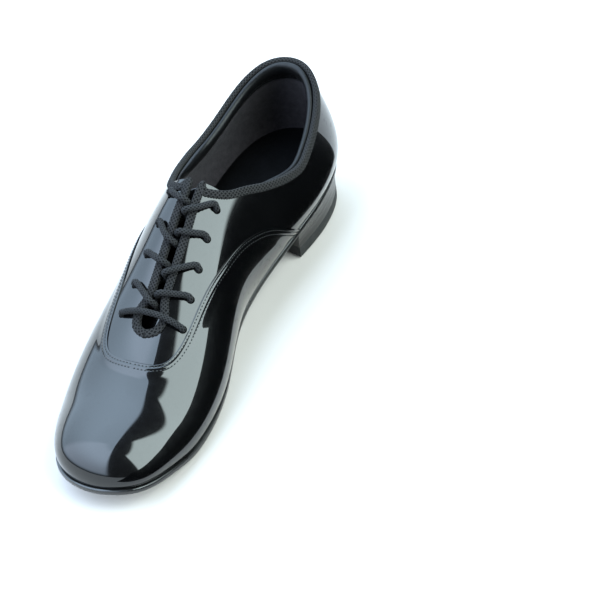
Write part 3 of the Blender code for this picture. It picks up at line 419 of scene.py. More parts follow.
def strand(side):
    """Half of the laced part: from the middle of the bottom bar to below the top eyelet.

    The strand dives into the bottom eyelet, runs under its facing, comes up in the gap and
    crosses over the other facing to the next eyelet up.
    """
    bottom = len(EYELET_OUT) - 1
    depth = eyelet_depth(bottom)
    points = [beside_ridge(depth, side * 5.0, LACE_OVER_EDGE + 0.6),
              beside_ridge(depth, side * 10.5, LACE_OVER_EDGE - 0.3)]
    points += into_eyelet(bottom, side)
    here = side
    for number in range(bottom - 1, -1, -1):
        middle = eyelet_depth(number) + EYELET_PITCH * 0.5 + side * THROAT_SIDESTEP
        low = eyelet_depth(number + 1)
        out = EYELET_OUT[number + 1]
        points += [beside_ridge(low - 1.5, here * (out - 3.5), -LACE_UNDER),
                   beside_ridge(0.4 * low + 0.6 * middle, here * out * 0.38, -LACE_UNDER),
                   beside_ridge(middle + 0.4, here * 1.2, -LACE_UNDER + 0.9),
                   beside_ridge(middle, here * 0.1, -2.4),
                   beside_ridge(middle - 0.2, -here * 0.1, 0.9),
                   beside_ridge(middle - 0.8, -here * 1.9, LACE_OVER_EDGE),
                   beside_ridge(0.65 * middle + 0.35 * eyelet_depth(number), -here * 5.6,
                                LACE_OVER_EDGE - 0.2)]
        here = -here
        points += into_eyelet(number, here)
    points.append(beside_ridge(eyelet_depth(0), here * (EYELET_OUT[0] + 0.6), -LACE_UNDER))
    return points, here


def inside_wall(depth, up, side, clearance):
    """Point inside the shoe, `clearance` mm in from the outside surface."""
    station = float(station_of(depth))
    spot = (np.array(side * station), np.array(up))
    return surface(*spot) - clearance * surface_normal(*spot)


def tail_route(side):
    """The loose end: past the tongue, down the wall, along the footbed and back on itself."""
    floor = SOLE_THICKNESS + BOARD_LIFT + BOARD_THICKNESS + FACET_GAP + SOCK_THICKNESS
    top_up = up_at_offset(float(station_of(EYELET_FIRST)), side, EYELET_OUT[0])
    wall = [(EYELET_FIRST + 0.3, top_up - 0.055), (EYELET_FIRST + 1.5, top_up - 0.14),
            (EYELET_FIRST + 4, 0.50), (EYELET_FIRST + 8, 0.36), (EYELET_FIRST + 13, 0.25)]
    points = [inside_wall(depth, up, side, LACE_UNDER + 0.1 + 0.3 * i)
              for i, (depth, up) in enumerate(wall)]
    bed = [(153, 11.5), (160, 12.0), (168, 12.0), (175, 13.5), (180, 17.5), (180.5, 23.0),
           (176, 27.5), (169, 28.5), (161, 27.5)]
    for depth, inset in bed:
        around = side * float(station_of(depth))
        x = float(feather_x(around)) - side * inset
        z = float(sole_bottom(depth)) + floor + LACE_RADIUS + 1.9
        points.append(np.array([x, HEEL_BACK_Y - depth, z]))
    return points


# ---- fine detail of the upper -----------------------------------------------------------------
STITCH_ROWS = (1.4, 3.7)        # distance of the two stitch rows from the vamp's cut edge
STITCH_PITCH = 2.1
UNDERLAP = 3.5                  # how far the quarter runs on under the vamp
QUARTER_LINES = 34
EYELET_RADIUS = 2.4


def place(points):
    """Millimetres in the last's own axes to metres in the row frame."""
    points = np.asarray(points, float) * MM
    return points + np.array([PLAN_SHIFT[0] * MM, PLAN_SHIFT[1] * MM, 0.0])


def surface_jacobian(around, up, arch=False):
    step = 1e-4
    low = np.maximum(up - step, 0.0)
    high = np.minimum(up + step, 1.0)
    by_around = (surface(around + step, up, arch) - surface(around - step, up, arch)) / (2 * step)
    by_up = (surface(around, high, arch) - surface(around, low, arch)) / (high - low)[..., None]
    return by_around, by_up


def offset_line(around, up, distance):
    """Move a line on the surface sideways by distance mm, towards the toe."""
    around = np.asarray(around, float)
    up = np.asarray(up, float)
    line = surface(around, up)
    tangent = unit(np.gradient(line, axis=0))
    across = unit(np.cross(surface_normal(around, up), tangent))
    across = across * -np.sign(across[0, 1])
    basis = np.stack(surface_jacobian(around, up), -1)
    step = np.stack([np.linalg.lstsq(b, a * distance, rcond=None)[0]
                     for b, a in zip(basis, across)])
    return around + step[:, 0], np.clip(up + step[:, 1], 0.0, 1.0)


def seam_line(side, count=150):
    """The vamp's cut edge on one side, from the feather line to the middle of the front."""
    ups = np.linspace(0, 1, 3000)
    around = side * seam_station(ups)
    length = run_length(surface(around, ups))
    marks = np.linspace(0, length[-1], count)
    return np.interp(marks, length, around), np.interp(marks, length, ups)


# ---- meshes -------------------------------------------------------------------------------------
def ring_faces(number):
    """Quads of a tube from the vertex numbers [along, round]."""
    after = np.roll(number, -1, axis=1)
    return np.stack([number[:-1], after[:-1], after[1:], number[1:]], -1).reshape(-1, 4).tolist()


def mesh_object(name, verts, faces, mat, sharp=SHARP, uv=None):
    mesh = bpy.data.meshes.new(name)
    mesh.from_pydata([tuple(v) for v in verts], [], [tuple(f) for f in faces])
    mesh.validate()
    if uv is not None:
        layer_uv = mesh.uv_layers.new(name="along")
        index = np.empty(len(mesh.loops), int)
        mesh.loops.foreach_get("vertex_index", index)
        layer_uv.data.foreach_set("uv", np.asarray(uv, float)[index].ravel())
    mesh.shade_smooth()
    mesh.set_sharp_from_angle(angle=sharp)
    mesh.materials.append(mat)
    obj = bpy.data.objects.new(name, mesh)
    bpy.context.scene.collection.objects.link(obj)
    return obj


def lattice(name, levels, mat, loop=False, sharp=SHARP):
    """Closed body from levels[level, along, across] in mm."""
    levels = np.asarray(levels, float)
    nk, ni, nj = levels.shape[:3]
    number = np.arange(nk * ni * nj).reshape(nk, ni, nj)
    if loop:
        number = np.concatenate([number, number[:, :1]], axis=1)
    faces = []

    def quads(a):
        block = np.stack([a[:-1, :-1], a[1:, :-1], a[1:, 1:], a[:-1, 1:]], -1)
        faces.append(block.reshape(-1, 4))

    quads(number[0][:, ::-1])
    quads(number[-1])
    quads(number[:, :, 0])
    quads(number[:, :, -1][:, ::-1])
    if not loop:
        quads(number[:, 0, :][:, ::-1])
        quads(number[:, -1, :])
    obj = mesh_object(name, place(levels.reshape(-1, 3)), np.concatenate(faces), mat, sharp)
    clean(obj, sharp)
    return obj


def clean(obj, sharp=SHARP):
    """Weld the mesh and turn its faces outwards."""
    bm = bmesh.new()
    bm.from_mesh(obj.data)
    bmesh.ops.remove_doubles(bm, verts=bm.verts, dist=2e-6)
    bmesh.ops.recalc_face_normals(bm, faces=bm.faces)
    if bm.calc_volume(signed=True) < 0:
        bmesh.ops.reverse_faces(bm, faces=bm.faces)
    bm.to_mesh(obj.data)
    bm.free()
    obj.data.shade_smooth()
    obj.data.set_sharp_from_angle(angle=sharp)


def frames_along(path):
    """Two side directions along a path, turning as little as possible."""
    tangent = unit(np.gradient(path, axis=0))
    side = np.cross(tangent[0], (0.0, 0.0, 1.0))
    if np.linalg.norm(side) < 1e-3:
        side = np.cross(tangent[0], (0.0, 1.0, 0.0))
    sides = []
    for t in tangent:
        side = unit(side - t * np.dot(side, t))
        sides.append(side)
    return np.array(sides), np.cross(tangent, sides)


def braided_tube(name, path, radius, mat, sides=20):
    """Round braided cord: the plaits stand proud along two crossing spirals."""
    path = np.asarray(path, float)
    side, lift = frames_along(path)
    length = run_length(path)
    turn = np.linspace(0, 2 * np.pi, sides, endpoint=False)
    s = length[:, None]
    advance = s * 2 * np.pi / 2.6
    ribs = np.maximum(np.cos(4 * turn + advance), np.cos(4 * turn - advance))
    r = radius * 0.955 + 0.085 * radius * ribs
    rings = (path[:, None, :] + side[:, None, :] * (np.cos(turn) * r)[..., None]
             + lift[:, None, :] * (np.sin(turn) * r)[..., None])
    count = len(path)
    number = np.arange(count * sides).reshape(count, sides)
    faces = ring_faces(number)
    verts = np.concatenate([rings.reshape(-1, 3), path[:1], path[-1:]])
    for j in range(sides):
        faces.append((number[0, (j + 1) % sides], number[0, j], count * sides))
        faces.append((number[-1, j], number[-1, (j + 1) % sides], count * sides + 1))
    uv = np.stack([np.repeat(length, sides), np.tile(turn / (2 * np.pi) * 11.0, count)], -1)
    uv = np.concatenate([uv, [[0, 0], [length[-1], 0]]])
    return mesh_object(name, place(verts), faces, mat, SMOOTH, uv)


def stitches(name, lines, mat, pitch=STITCH_PITCH, long=1.4, thick=0.36, high=0.26):
    """Rows of stitches: each is a small rounded bead along a line of (points, normals) in mm."""
    verts, faces = [], []
    rings, sides = 5, 6
    for points, normals in lines:
        length = run_length(points)
        marks = np.arange(pitch / 2, length[-1], pitch)
        centre = sample(marks, length, points)
        along = unit(sample(marks + 0.3, length, points) - sample(marks - 0.3, length, points))
        normal = sample(marks, length, normals)
        normal = unit(normal - along * np.sum(along * normal, axis=1, keepdims=True))
        side = np.cross(along, normal)
        for c, a, n, b in zip(centre, along, normal, side):
            number = len(verts) + np.arange(rings * sides).reshape(rings, sides)
            for t in np.linspace(-1, 1, rings):
                r = math.sqrt(max(1 - t * t, 0.0)) * 0.92 + 0.08
                sink = 0.02 - 0.10 * t * t
                for j in range(sides):
                    angle = 2 * math.pi * j / sides
                    verts.append(c + a * (t * long / 2) + b * (math.cos(angle) * thick * r)
                                 + n * (math.sin(angle) * high * r + sink))
            faces += ring_faces(number)
            faces += [number[0, ::-1].tolist(), number[-1].tolist()]
    return mesh_object(name, place(np.array(verts)), faces, mat, SMOOTH)


# ---- materials ---------------------------------------------------------------------------------
def principled(mat):
    return mat.node_tree.nodes["Principled BSDF"]


def shader(name, base, roughness, metallic=0.0, specular=0.5, coat=0.0, coat_roughness=0.03,
           sheen=0.0):
    mat = bpy.data.materials.new(name)
    mat.use_nodes = True
    for socket, value in (("Base Color", (*base, 1.0)), ("Roughness", roughness),
                          ("Metallic", metallic), ("Specular IOR Level", specular),
                          ("Coat Weight", coat), ("Coat Roughness", coat_roughness),
                          ("Sheen Weight", sheen)):
        principled(mat).inputs[socket].default_value = value
    return mat


def add(mat, kind, **inputs):
    node = mat.node_tree.nodes.new(kind)
    for key, value in inputs.items():
        node.inputs[key.replace("_", " ")].default_value = value
    return node


def wire(mat, source, output, target, socket):
    mat.node_tree.links.new(source.outputs[output], target.inputs[socket])


def coordinates(mat, scale, kind="Object"):
    spot = add(mat, "ShaderNodeTexCoord")
    mapping = add(mat, "ShaderNodeMapping")
    mapping.inputs["Scale"].default_value = scale
    wire(mat, spot, kind, mapping, "Vector")
    return mapping


def noise(mat, where, scale, detail=3.0, rough=0.5):
    node = add(mat, "ShaderNodeTexNoise", Scale=scale, Detail=detail, Roughness=rough)
    wire(mat, where, "Vector", node, "Vector")
    return node


def ramp(mat, source, output, stops):
    node = add(mat, "ShaderNodeValToRGB")
    elements = node.color_ramp.elements
    while len(elements) < len(stops):
        elements.new(0.5)
    for element, (at, colour) in zip(elements, stops):
        element.position = at
        element.color = (*colour, 1.0)
    wire(mat, source, output, node, "Fac")
    return node


def bump(mat, source, output, strength, distance, under=None):
    node = add(mat, "ShaderNodeBump", Strength=strength, Distance=distance)
    wire(mat, source, output, node, "Height")
    if under is not None:
        wire(mat, under, "Normal", node, "Normal")
    return node


def vary(mat, where, scale, low, high):
    """Uneven roughness between two values."""
    node = noise(mat, where, scale, 4.0, 0.6)
    span = add(mat, "ShaderNodeMapRange", From_Min=0.3, From_Max=0.7, To_Min=low, To_Max=high)
    wire(mat, node, "Fac", span, "Value")
    wire(mat, span, "Result", principled(mat), "Roughness")


def tint(mat, source, output, stops):
    """Base colour from a ramp over a texture."""
    wire(mat, ramp(mat, source, output, stops), "Color", principled(mat), "Base Color")


def relief(mat, last):
    wire(mat, last, "Normal", principled(mat), "Normal")


def patent(name):
    mat = shader(name, (0.0012, 0.0012, 0.0014), 0.22, specular=0.06, coat=1.0,
                 coat_roughness=0.015)
    where = coordinates(mat, (1, 1, 1))
    slow = noise(mat, where, 55.0, 2.0)
    fine = noise(mat, where, 900.0, 2.0)
    first = bump(mat, slow, "Fac", 0.05, 0.0006)
    second = bump(mat, fine, "Fac", 0.03, 0.00003, first)
    relief(mat, second)
    wire(mat, second, "Normal", principled(mat), "Coat Normal")
    tint(mat, noise(mat, where, 30.0, 3.0), "Fac",
         ((0.3, (0.0009, 0.0009, 0.001)), (0.7, (0.0016, 0.0016, 0.0018))))
    vary(mat, where, 220.0, 0.18, 0.30)
    return mat


def soft_leather(name, base=(0.0022, 0.0022, 0.0024), roughness=(0.32, 0.48), grain=900.0,
                 specular=0.22):
    mat = shader(name, base, 0.4, specular=specular)
    where = coordinates(mat, (1, 1, 1))
    pores = add(mat, "ShaderNodeTexVoronoi", Scale=grain)
    wire(mat, where, "Vector", pores, "Vector")
    first = bump(mat, pores, "Distance", 0.35, 0.00012)
    second = bump(mat, noise(mat, where, 160.0, 4.0), "Fac", 0.25, 0.0004, first)
    relief(mat, second)
    low = tuple(c * 0.7 for c in base)
    high = tuple(c * 1.5 for c in base)
    tint(mat, noise(mat, where, 90.0, 4.0), "Fac", ((0.3, low), (0.7, high)))
    vary(mat, where, 300.0, *roughness)
    return mat


def crossed(mat, operation, sets, **inputs):
    """Two sets of bands, each a (mapping, direction), joined into one height."""
    joined = add(mat, "ShaderNodeMath")
    joined.operation = operation
    for socket, (where, direction) in enumerate(sets):
        band = add(mat, "ShaderNodeTexWave", **inputs)
        band.bands_direction = direction
        wire(mat, where, "Vector", band, "Vector")
        wire(mat, band, "Fac", joined, socket)
    return joined


def cloth(name, dark, light, weave=1500.0, sheen=0.04):
    """Fine woven cloth: two crossing sets of threads."""
    mat = shader(name, light, 0.9, specular=0.06, sheen=sheen)
    where = coordinates(mat, (1, 1, 1))
    threads = crossed(mat, "MULTIPLY", ((where, "Z"), (where, "DIAGONAL")), Scale=weave,
                      Distortion=1.2, Detail=1.0)
    first = bump(mat, threads, "Value", 0.5, 0.0002)
    second = bump(mat, noise(mat, where, 400.0, 5.0, 0.7), "Fac", 0.5, 0.0005, first)
    relief(mat, second)
    tint(mat, noise(mat, where, 260.0, 6.0, 0.75), "Fac", ((0.28, dark), (0.72, light)))
    vary(mat, where, 120.0, 0.8, 0.98)
    return mat


def braid(name, dark, light, across, along):
    """Woven tape or cord: slanting ribs that alternate, from the map along the piece (mm), with
    painted shade darkening the grooves between the ribs.
    """
    mat = shader(name, light, 0.75, specular=0.07, sheen=0.02)
    slants = [(coordinates(mat, (along, sign * across, 1.0), "UV"), "DIAGONAL")
              for sign in (1, -1)]
    top = crossed(mat, "MAXIMUM", slants, Scale=1.0, Distortion=0.3)
    first = bump(mat, top, "Value", 0.9, 0.00035)
    relief(mat, first)
    # painted shade: the low ground between the ribs takes the dark colour, only the rib tops the
    # light one
    tint(mat, top, "Value", ((0.45, dark), (0.92, light)))
    spot = coordinates(mat, (1, 1, 1))
    vary(mat, spot, 500.0, 0.62, 0.85)
    return mat


def metal(name, base, roughness, scratch):
    mat = shader(name, base, 0.3, metallic=1.0)
    where = coordinates(mat, (1, 8, 1))
    lines = noise(mat, where, scratch, 6.0, 0.7)
    first = bump(mat, lines, "Fac", 0.12, 0.00005)
    relief(mat, first)
    vary(mat, where, scratch * 0.5, *roughness)
    low = tuple(c * 0.88 for c in base)
    tint(mat, noise(mat, where, 60.0, 4.0), "Fac", ((0.3, low), (0.7, base)))
    return mat


def grained(name, dark, light, roughness, scale, depth, stretch=(1, 1, 1), coat=0.0):
    mat = shader(name, light, 0.6, coat=coat, coat_roughness=0.12)
    where = coordinates(mat, stretch)
    grain = noise(mat, where, scale, 6.0, 0.65)
    first = bump(mat, grain, "Fac", 0.6, depth)
    relief(mat, first)
    tint(mat, grain, "Fac", ((0.3, dark), (0.7, light)))
    vary(mat, where, scale * 0.4, *roughness)
    return mat


def grey(value):
    return value, value, value


PATENT = patent("patent_black")
THREAD = grained("thread_black", grey(0.0015), grey(0.005), (0.55, 0.75), 900.0, 0.0001)
PAD_LEATHER = soft_leather("collar_leather")
SOCK = soft_leather("sock_leather", (0.0012, 0.0012, 0.0015), (0.6, 0.8), 1300.0, 0.06)
LINING = cloth("lining_cloth", (0.020, 0.017, 0.019), (0.044, 0.038, 0.042))
# Braids: the first colour is painted shade for the grooves between the ribs, the second the rib
# tops.
TAPE = braid("binding_tape", (0.0020, 0.0019, 0.0019), (0.024, 0.023, 0.023), 0.28, 0.27)
CORD = braid("lace_braid", grey(0.0022), (0.026, 0.026, 0.027), 0.3427, 0.33)
SOLE = grained("sole_edge_dyed", grey(0.0015), (0.004, 0.0038, 0.0038), (0.22, 0.40), 260.0,
               0.00012, (1, 1, 3), coat=0.35)
HEEL = grained("heel_stack_dyed", grey(0.0012), (0.0032, 0.003, 0.003), (0.24, 0.40), 180.0,
               0.00010, (1, 1, 9), coat=0.2)
RUBBER = grained("top_piece_rubber", grey(0.003), grey(0.008), (0.6, 0.8), 500.0, 0.0002)
BOARD = grained("insole_fibre", (0.24, 0.17, 0.10), (0.42, 0.31, 0.20), (0.8, 0.95), 700.0, 0.0002)
STIFF = grained("stiffener_fibre", (0.34, 0.32, 0.28), (0.52, 0.50, 0.45), (0.8, 0.95), 700.0,
                0.0002)
CORK = grained("cork_filler", (0.20, 0.12, 0.06), (0.46, 0.31, 0.17), (0.85, 0.98), 400.0, 0.0005)
ALUMINIUM = metal("tap_aluminium", (0.62, 0.63, 0.64), (0.22, 0.36), 300.0)
STEEL = metal("screw_steel", (0.42, 0.42, 0.43), (0.25, 0.40), 500.0)
AGLET = grained("aglet_film", grey(0.010), (0.030, 0.030, 0.031), (0.2, 0.3), 300.0, 0.00005)

# ---- pieces of the upper ----------------------------------------------------------------------
def refine(points, times):
    """Smooth curve through a list of points, with `times` steps for each span."""
    points = np.asarray(points, float)
    last = len(points) - 1
    out = []
    for i in range(last):
        out += catmull_rom(*points[[max(i - 1, 0), i, i + 1, min(i + 2, last)]], times)
    return np.array(out)


def quarter_side(side, underlap):
    """Foot and edge points of the quarter's columns on one side."""
    edge = [(side * s, float(topline(s))) for s in COLLAR_STATIONS]
    edge += [(side * s, up) for s, up in CORNER]
    for depth in FACING_DEPTHS:
        station = float(station_of(depth))
        edge.append((side * station, up_at_offset(station, side, float(half_gap(depth)))))
    ups = np.linspace(0, 1, 400)
    around, up = offset_line(side * seam_station(ups), ups, underlap)
    up[0] = 0.0
    up[-1] = 1.0
    around = np.interp(SEAM_ROWS, ups, around)
    up = np.interp(SEAM_ROWS, ups, up)
    shares = np.array(COLLAR_STATIONS[:-1]) / COLLAR_STATIONS[-1]
    foot = [(around[0] * share, 0.0) for share in shares] + list(zip(around, up))
    while len(foot) < len(edge):
        foot.append(foot[-1])
    return foot, edge


def quarter_columns(underlap, times):
    """Foot and edge points round the whole quarter, from keyhole to keyhole by way of the heel."""
    feet, edges = [], []
    for side in (-1.0, 1.0):
        foot, edge = quarter_side(side, underlap)
        feet += foot[:0:-1] if side < 0 else foot
        edges += edge[:0:-1] if side < 0 else edge
    return refine(feet, times), refine(edges, times)


def between(feet, edges, rises):
    rises = np.asarray(rises, float)
    if rises.ndim == 1:
        rises = np.tile(rises, (len(feet), 1))
    grid = feet[:, None, :] + (edges - feet)[:, None, :] * rises[..., None]
    grid[..., 1] = np.clip(grid[..., 1], 0.0, 1.0)
    return grid


def shell(name, grid, depths, mat, loop=False):
    points = [layer(grid[..., 0], grid[..., 1], depth) for depth in depths]
    return lattice(name, points, mat, loop)


def eyelet_spots():
    spots = []
    for number, offset in enumerate(EYELET_OUT):
        station = float(station_of(eyelet_depth(number)))
        for side in (1.0, -1.0):
            around = np.array(side * station)
            up = np.array(up_at_offset(station, side, offset))
            spots.append((surface(around, up), surface_normal(around, up)))
    return spots


def punch_tool(radius, sides=32):
    """One body of round rods through all eyelets."""
    bm = bmesh.new()
    for centre, normal in eyelet_spots():
        axis = Vector(normal)
        one = axis.orthogonal().normalized()
        two = axis.cross(one)
        rings = []
        for along in (-8.0, 3.0):
            turns = [2 * math.pi * i / sides for i in range(sides)]
            spots = [Vector(centre) + axis * along
                     + (one * math.cos(turn) + two * math.sin(turn)) * radius for turn in turns]
            rings.append([bm.verts.new(place(np.array(spot))) for spot in spots])
        low, high = rings
        bm.faces.new(low[::-1])
        bm.faces.new(high)
        for i in range(sides):
            bm.faces.new((low[i - 1], low[i], high[i], high[i - 1]))
    bmesh.ops.recalc_face_normals(bm, faces=bm.faces)
    mesh = bpy.data.meshes.new("punches")
    bm.to_mesh(mesh)
    bm.free()
    tool = bpy.data.objects.new("punches", mesh)
    bpy.context.scene.collection.objects.link(tool)
    return tool


def punch(objects, radius):
    """Cut the round eyelet holes through the given pieces."""
    tool = punch_tool(radius)
    for obj in objects:
        modifier = obj.modifiers.new("holes", "BOOLEAN")
        modifier.operation = "DIFFERENCE"
        modifier.solver = "EXACT"
        modifier.object = tool
        bpy.context.view_layer.update()
        graph = bpy.context.evaluated_depsgraph_get()
        holed = bpy.data.meshes.new_from_object(obj.evaluated_get(graph))
        obj.modifiers.clear()
        plain = obj.data
        obj.data = holed
        holed.name = obj.name
        bpy.data.meshes.remove(plain)
    bpy.data.objects.remove(tool)


def make_quarter():
    feet, edges = quarter_columns(UNDERLAP, 9)
    t = np.linspace(0, 1, QUARTER_LINES)
    grid = between(feet, edges, 1 - (1 - t) ** 1.35)
    quarter = shell("quarter_leather", grid, (0.0, LEATHER), PATENT, loop=True)
    plain_feet, plain_edges = quarter_columns(-0.5, 6)
    share = np.array([pad_room(i, plain_feet, plain_edges) for i in range(len(plain_feet))])
    rises = np.linspace(0, 1, 26)[None, :] * share[:, None]
    lining = shell("quarter_lining_cloth", between(plain_feet, plain_edges, rises),
                   LINING_DEPTH, LINING, loop=True)
    punch([quarter, lining], EYELET_RADIUS)
    return quarter, lining, edges


def pad_room(i, feet, edges):
    """How far up a column the lining goes."""
    station = abs(edges[i, 0])
    height = np.linalg.norm(surface(*feet[i]) - surface(*edges[i]))
    if station < COLLAR_STATIONS[-1] + 0.002:
        return 1 - 9.5 / max(height, 20.0)
    if station < CORNER[-1][0]:
        return 0.90
    return 0.965


def edge_frames(edge):
    """Points on the quarter's top edge with the directions down the surface and outwards."""
    top = surface(edge[:, 0], edge[:, 1])
    tangent = unit(unit(top - np.roll(top, 1, axis=0)) + unit(np.roll(top, -1, axis=0) - top))
    normal = surface_normal(edge[:, 0], edge[:, 1])
    normal = unit(normal - tangent * np.sum(tangent * normal, axis=1, keepdims=True))
    down = np.cross(tangent, normal)
    return top, down * -np.sign(np.median(down[:, 2])), normal


def resample_loop(points, spacing):
    """Evenly spaced points of the top edge, from the keyhole round the heel and back to it."""
    closed = np.concatenate([points, points[:1] * np.array([-1.0, 1.0])])
    length = run_length(surface(closed[:, 0], closed[:, 1]))
    count = int(round(length[-1] / spacing))
    marks = np.linspace(0, length[-1], count, endpoint=False)
    return sample(marks, length, closed), marks


TAPE_SECTION = ((3.5, 0.25), (3.65, 0.50), (3.5, 0.80), (2.6, 0.98), (1.5, 1.08), (0.4, 1.10),
                (-0.5, 1.0), (-1.0, 0.65), (-1.2, 0.0), (-1.2, -0.7), (-1.05, -1.5),
                (-0.6, -2.05), (0.2, -2.3), (1.4, -2.3), (2.9, -2.2), (3.0, -1.9), (1.4, -1.75),
                (-0.4, -1.6), (-0.55, -0.6), (-0.4, 0.30), (1.8, 0.28))


def make_tape(edges):
    """Woven ribbon folded over the whole edge, with a row of stitches near its lower border."""
    edge, marks = resample_loop(edges, 0.42)
    top, down, normal = edge_frames(edge)
    section = np.array(TAPE_SECTION)
    count, size = len(edge), len(section)
    s = marks[:, None]
    w = section[None, :, 0]
    n = section[None, :, 1]
    outer = (n > 0.5) & (w < 4.3)
    rib = np.cos(2 * np.pi * (s / 1.5 + np.abs(w - 1.6) / 2.4))
    raised = np.where(outer, n + 0.11 * rib, n)
    border = np.where(w > 3.3, w + 0.22 * np.cos(2 * np.pi * s / 1.5), w)
    dip = 0.20 * np.exp(-((w - 2.6) / 0.45) ** 2)
    raised = np.where(outer, raised - dip, raised)
    points = (top[:, None, :] + down[:, None, :] * border[..., None]
              + normal[:, None, :] * raised[..., None])
    number = np.arange(count * size).reshape(count, size)
    faces = ring_faces(np.concatenate([number, number[:1]]))
    uv = np.stack([np.repeat(marks, size), np.tile(run_length(section), count)], -1)
    obj = mesh_object("binding_tape", place(points.reshape(-1, 3)), faces, TAPE, SMOOTH, uv)
    clean(obj, SMOOTH)
    line = top + down * 2.6 + normal * 0.90
    row = stitches("binding_stitching", [(line, normal)], THREAD, 1.7, 1.15, 0.20, 0.16)
    return obj, row


PAD_SECTION = ((-11.6, 3.0), (-8.0, 2.9), (-4.0, 2.75), (-1.0, 2.7), (0.3, 2.8), (1.1, 3.4),
               (1.4, 4.3), (1.1, 5.3), (0.2, 6.2), (-1.6, 6.8), (-3.8, 6.8), (-6.0, 6.2),
               (-7.8, 5.4), (-9.1, 4.7), (-10.0, 4.3), (-11.0, 4.15), (-12.0, 4.1), (-12.4, 3.6))


def make_pad(count=260):
    """Padded leather roll inside the top edge, from one facing round the heel to the other."""
    last = COLLAR_STATIONS[-1] + 0.008
    around = np.linspace(-last, last, count)
    edge_up = topline(np.abs(around))
    section = np.array(PAD_SECTION)
    ends = np.minimum(np.arange(count), np.arange(count)[::-1]) / 26.0
    swell_share = smoothstep(ends, 0.0, 1.0)
    points = np.empty((count, len(section), 3))
    climb = np.linalg.norm(surface_jacobian(around, edge_up)[1], axis=1)
    for j, (height, depth) in enumerate(section):
        thick = 2.9 + (depth - 2.9) * (0.30 + 0.70 * swell_share)
        lift = height * np.where(height > 0, swell_share, 0.55 + 0.45 * swell_share)
        up = np.clip(edge_up + lift / climb, 0.0, 1.0)
        points[:, j] = surface(around, up) - surface_normal(around, up) * thick[..., None]
    number = np.arange(count * len(section)).reshape(count, len(section))
    faces = ring_faces(number)
    faces += [number[0].tolist(), number[-1, ::-1].tolist()]
    obj = mesh_object("collar_roll", place(points.reshape(-1, 3)), faces, PAD_LEATHER, SMOOTH)
    clean(obj, SMOOTH)
    seam = points[:, 14] * 0.5 + points[:, 15] * 0.5
    inward = unit(points[:, 15] - points[:, 0])
    row = stitches("collar_stitching", [(seam, inward)], THREAD, 2.2, 1.5, 0.24, 0.2)
    return obj, row


# ---- vamp --------------------------------------------------------------------------------------
NEAR = np.concatenate([np.linspace(0, 5.4, 28), [6.0, 6.8, 7.8, 9.0]])
FAR_STEPS = 64


def vamp_lift(distance):
    """Height of the vamp's outside over the last's surface near its lapped edge."""
    lift = 0.80 * (1 - smoothstep(distance, 0.5, 10.0))
    for row in STITCH_ROWS:
        lift = lift - 0.09 * np.exp(-((distance - row) / 0.36) ** 2)
    middle = sum(STITCH_ROWS) / 2
    lift = lift + 0.10 * np.exp(-((distance - middle) / 0.55) ** 2)
    return lift - 0.30 * np.exp(-(distance / 0.22) ** 2)


def vamp_side(side):
    around, up = seam_line(side)
    rows = [offset_line(around, up, distance) for distance in NEAR]
    start, start_up = rows[-1]
    shares = np.linspace(0, 1, FAR_STEPS + 1)[1:]
    shares = shares + 0.2 * shares * (1 - shares)
    for share in shares:
        rows.append((start + (side - start) * share, start_up + (up - start_up) * share))
    grid = np.array([np.stack(row, -1) for row in rows])
    grid[..., 1] = np.clip(grid[..., 1], 0, 1)
    grid[:, 0, 1] = 0.0
    grid[:, -1, 1] = 1.0
    return grid


def make_vamp():
    inner, outer = vamp_side(1.0), vamp_side(-1.0)
    inner[:, -1, 0] = np.abs(inner[:, -1, 0])
    outer[:, -1, 0] = -inner[:, -1, 0]
    grid = np.concatenate([inner, outer[:, -2::-1]], axis=1)
    far = np.linspace(9.5, 60, FAR_STEPS)
    distance = np.concatenate([NEAR, far])
    lift = vamp_lift(distance)
    thick = 0.75 + 0.45 * smoothstep(distance, 0.0, 8.0)
    top = layer(grid[..., 0], grid[..., 1], -lift[:, None, None])
    under = layer(grid[..., 0], grid[..., 1], (thick - lift)[:, None, None])
    vamp = lattice("vamp_leather", [top, under], PATENT)
    lines = []
    for side in (1.0, -1.0):
        around, up = seam_line(side, 400)
        for row in STITCH_ROWS:
            a, u = offset_line(around, up, row)
            height = float(vamp_lift(np.array(row)))
            normal = surface_normal(a, u)
            lines.append((surface(a, u) + normal * (height + 0.03), normal))
    row = stitches("vamp_stitching", lines, THREAD)
    coarse = grid[::3, ::3]
    if (grid.shape[1] - 1) % 3:
        coarse = np.concatenate([coarse, grid[::3, -1:]], axis=1)
    lining = lattice("vamp_lining_cloth", [layer(coarse[..., 0], coarse[..., 1], depth)
                                           for depth in LINING_DEPTH], LINING)
    return vamp, row, lining


def make_tongue():
    depths = np.array([122.3, 122.8, 124.4, 127.5, 134, 145, 160, 175, 190, 200, 208.6])
    reach = np.array([8.0, 11.5, 14.8, 17.5, 19.6, 20.5, 21.0, 21.5, 22.0, 21.0, 19.0])
    fine_depths = np.interp(np.linspace(0, 10, 90), np.arange(11), depths)
    wide = run_curve(list(zip(depths, reach)))
    rows = []
    for depth in fine_depths:
        station = float(station_of(depth))
        row = []
        for side in (1.0, -1.0):
            edge = up_at_offset(station, side, float(wide(depth)), True)
            half = [(side * station, edge + (1 - edge) * share)
                    for share in np.linspace(0, 1, 18)]
            row += half if side > 0 else half[-2::-1]
        rows.append(row)
    grid = np.array(rows)
    outer = lattice("tongue_leather", [tongue_layer(grid, d) for d in TONGUE_DEPTH], PATENT)
    under = lattice("tongue_lining_cloth", [tongue_layer(grid, d) for d in TONGUE_LINING_DEPTH],
                    LINING)
    return outer, under


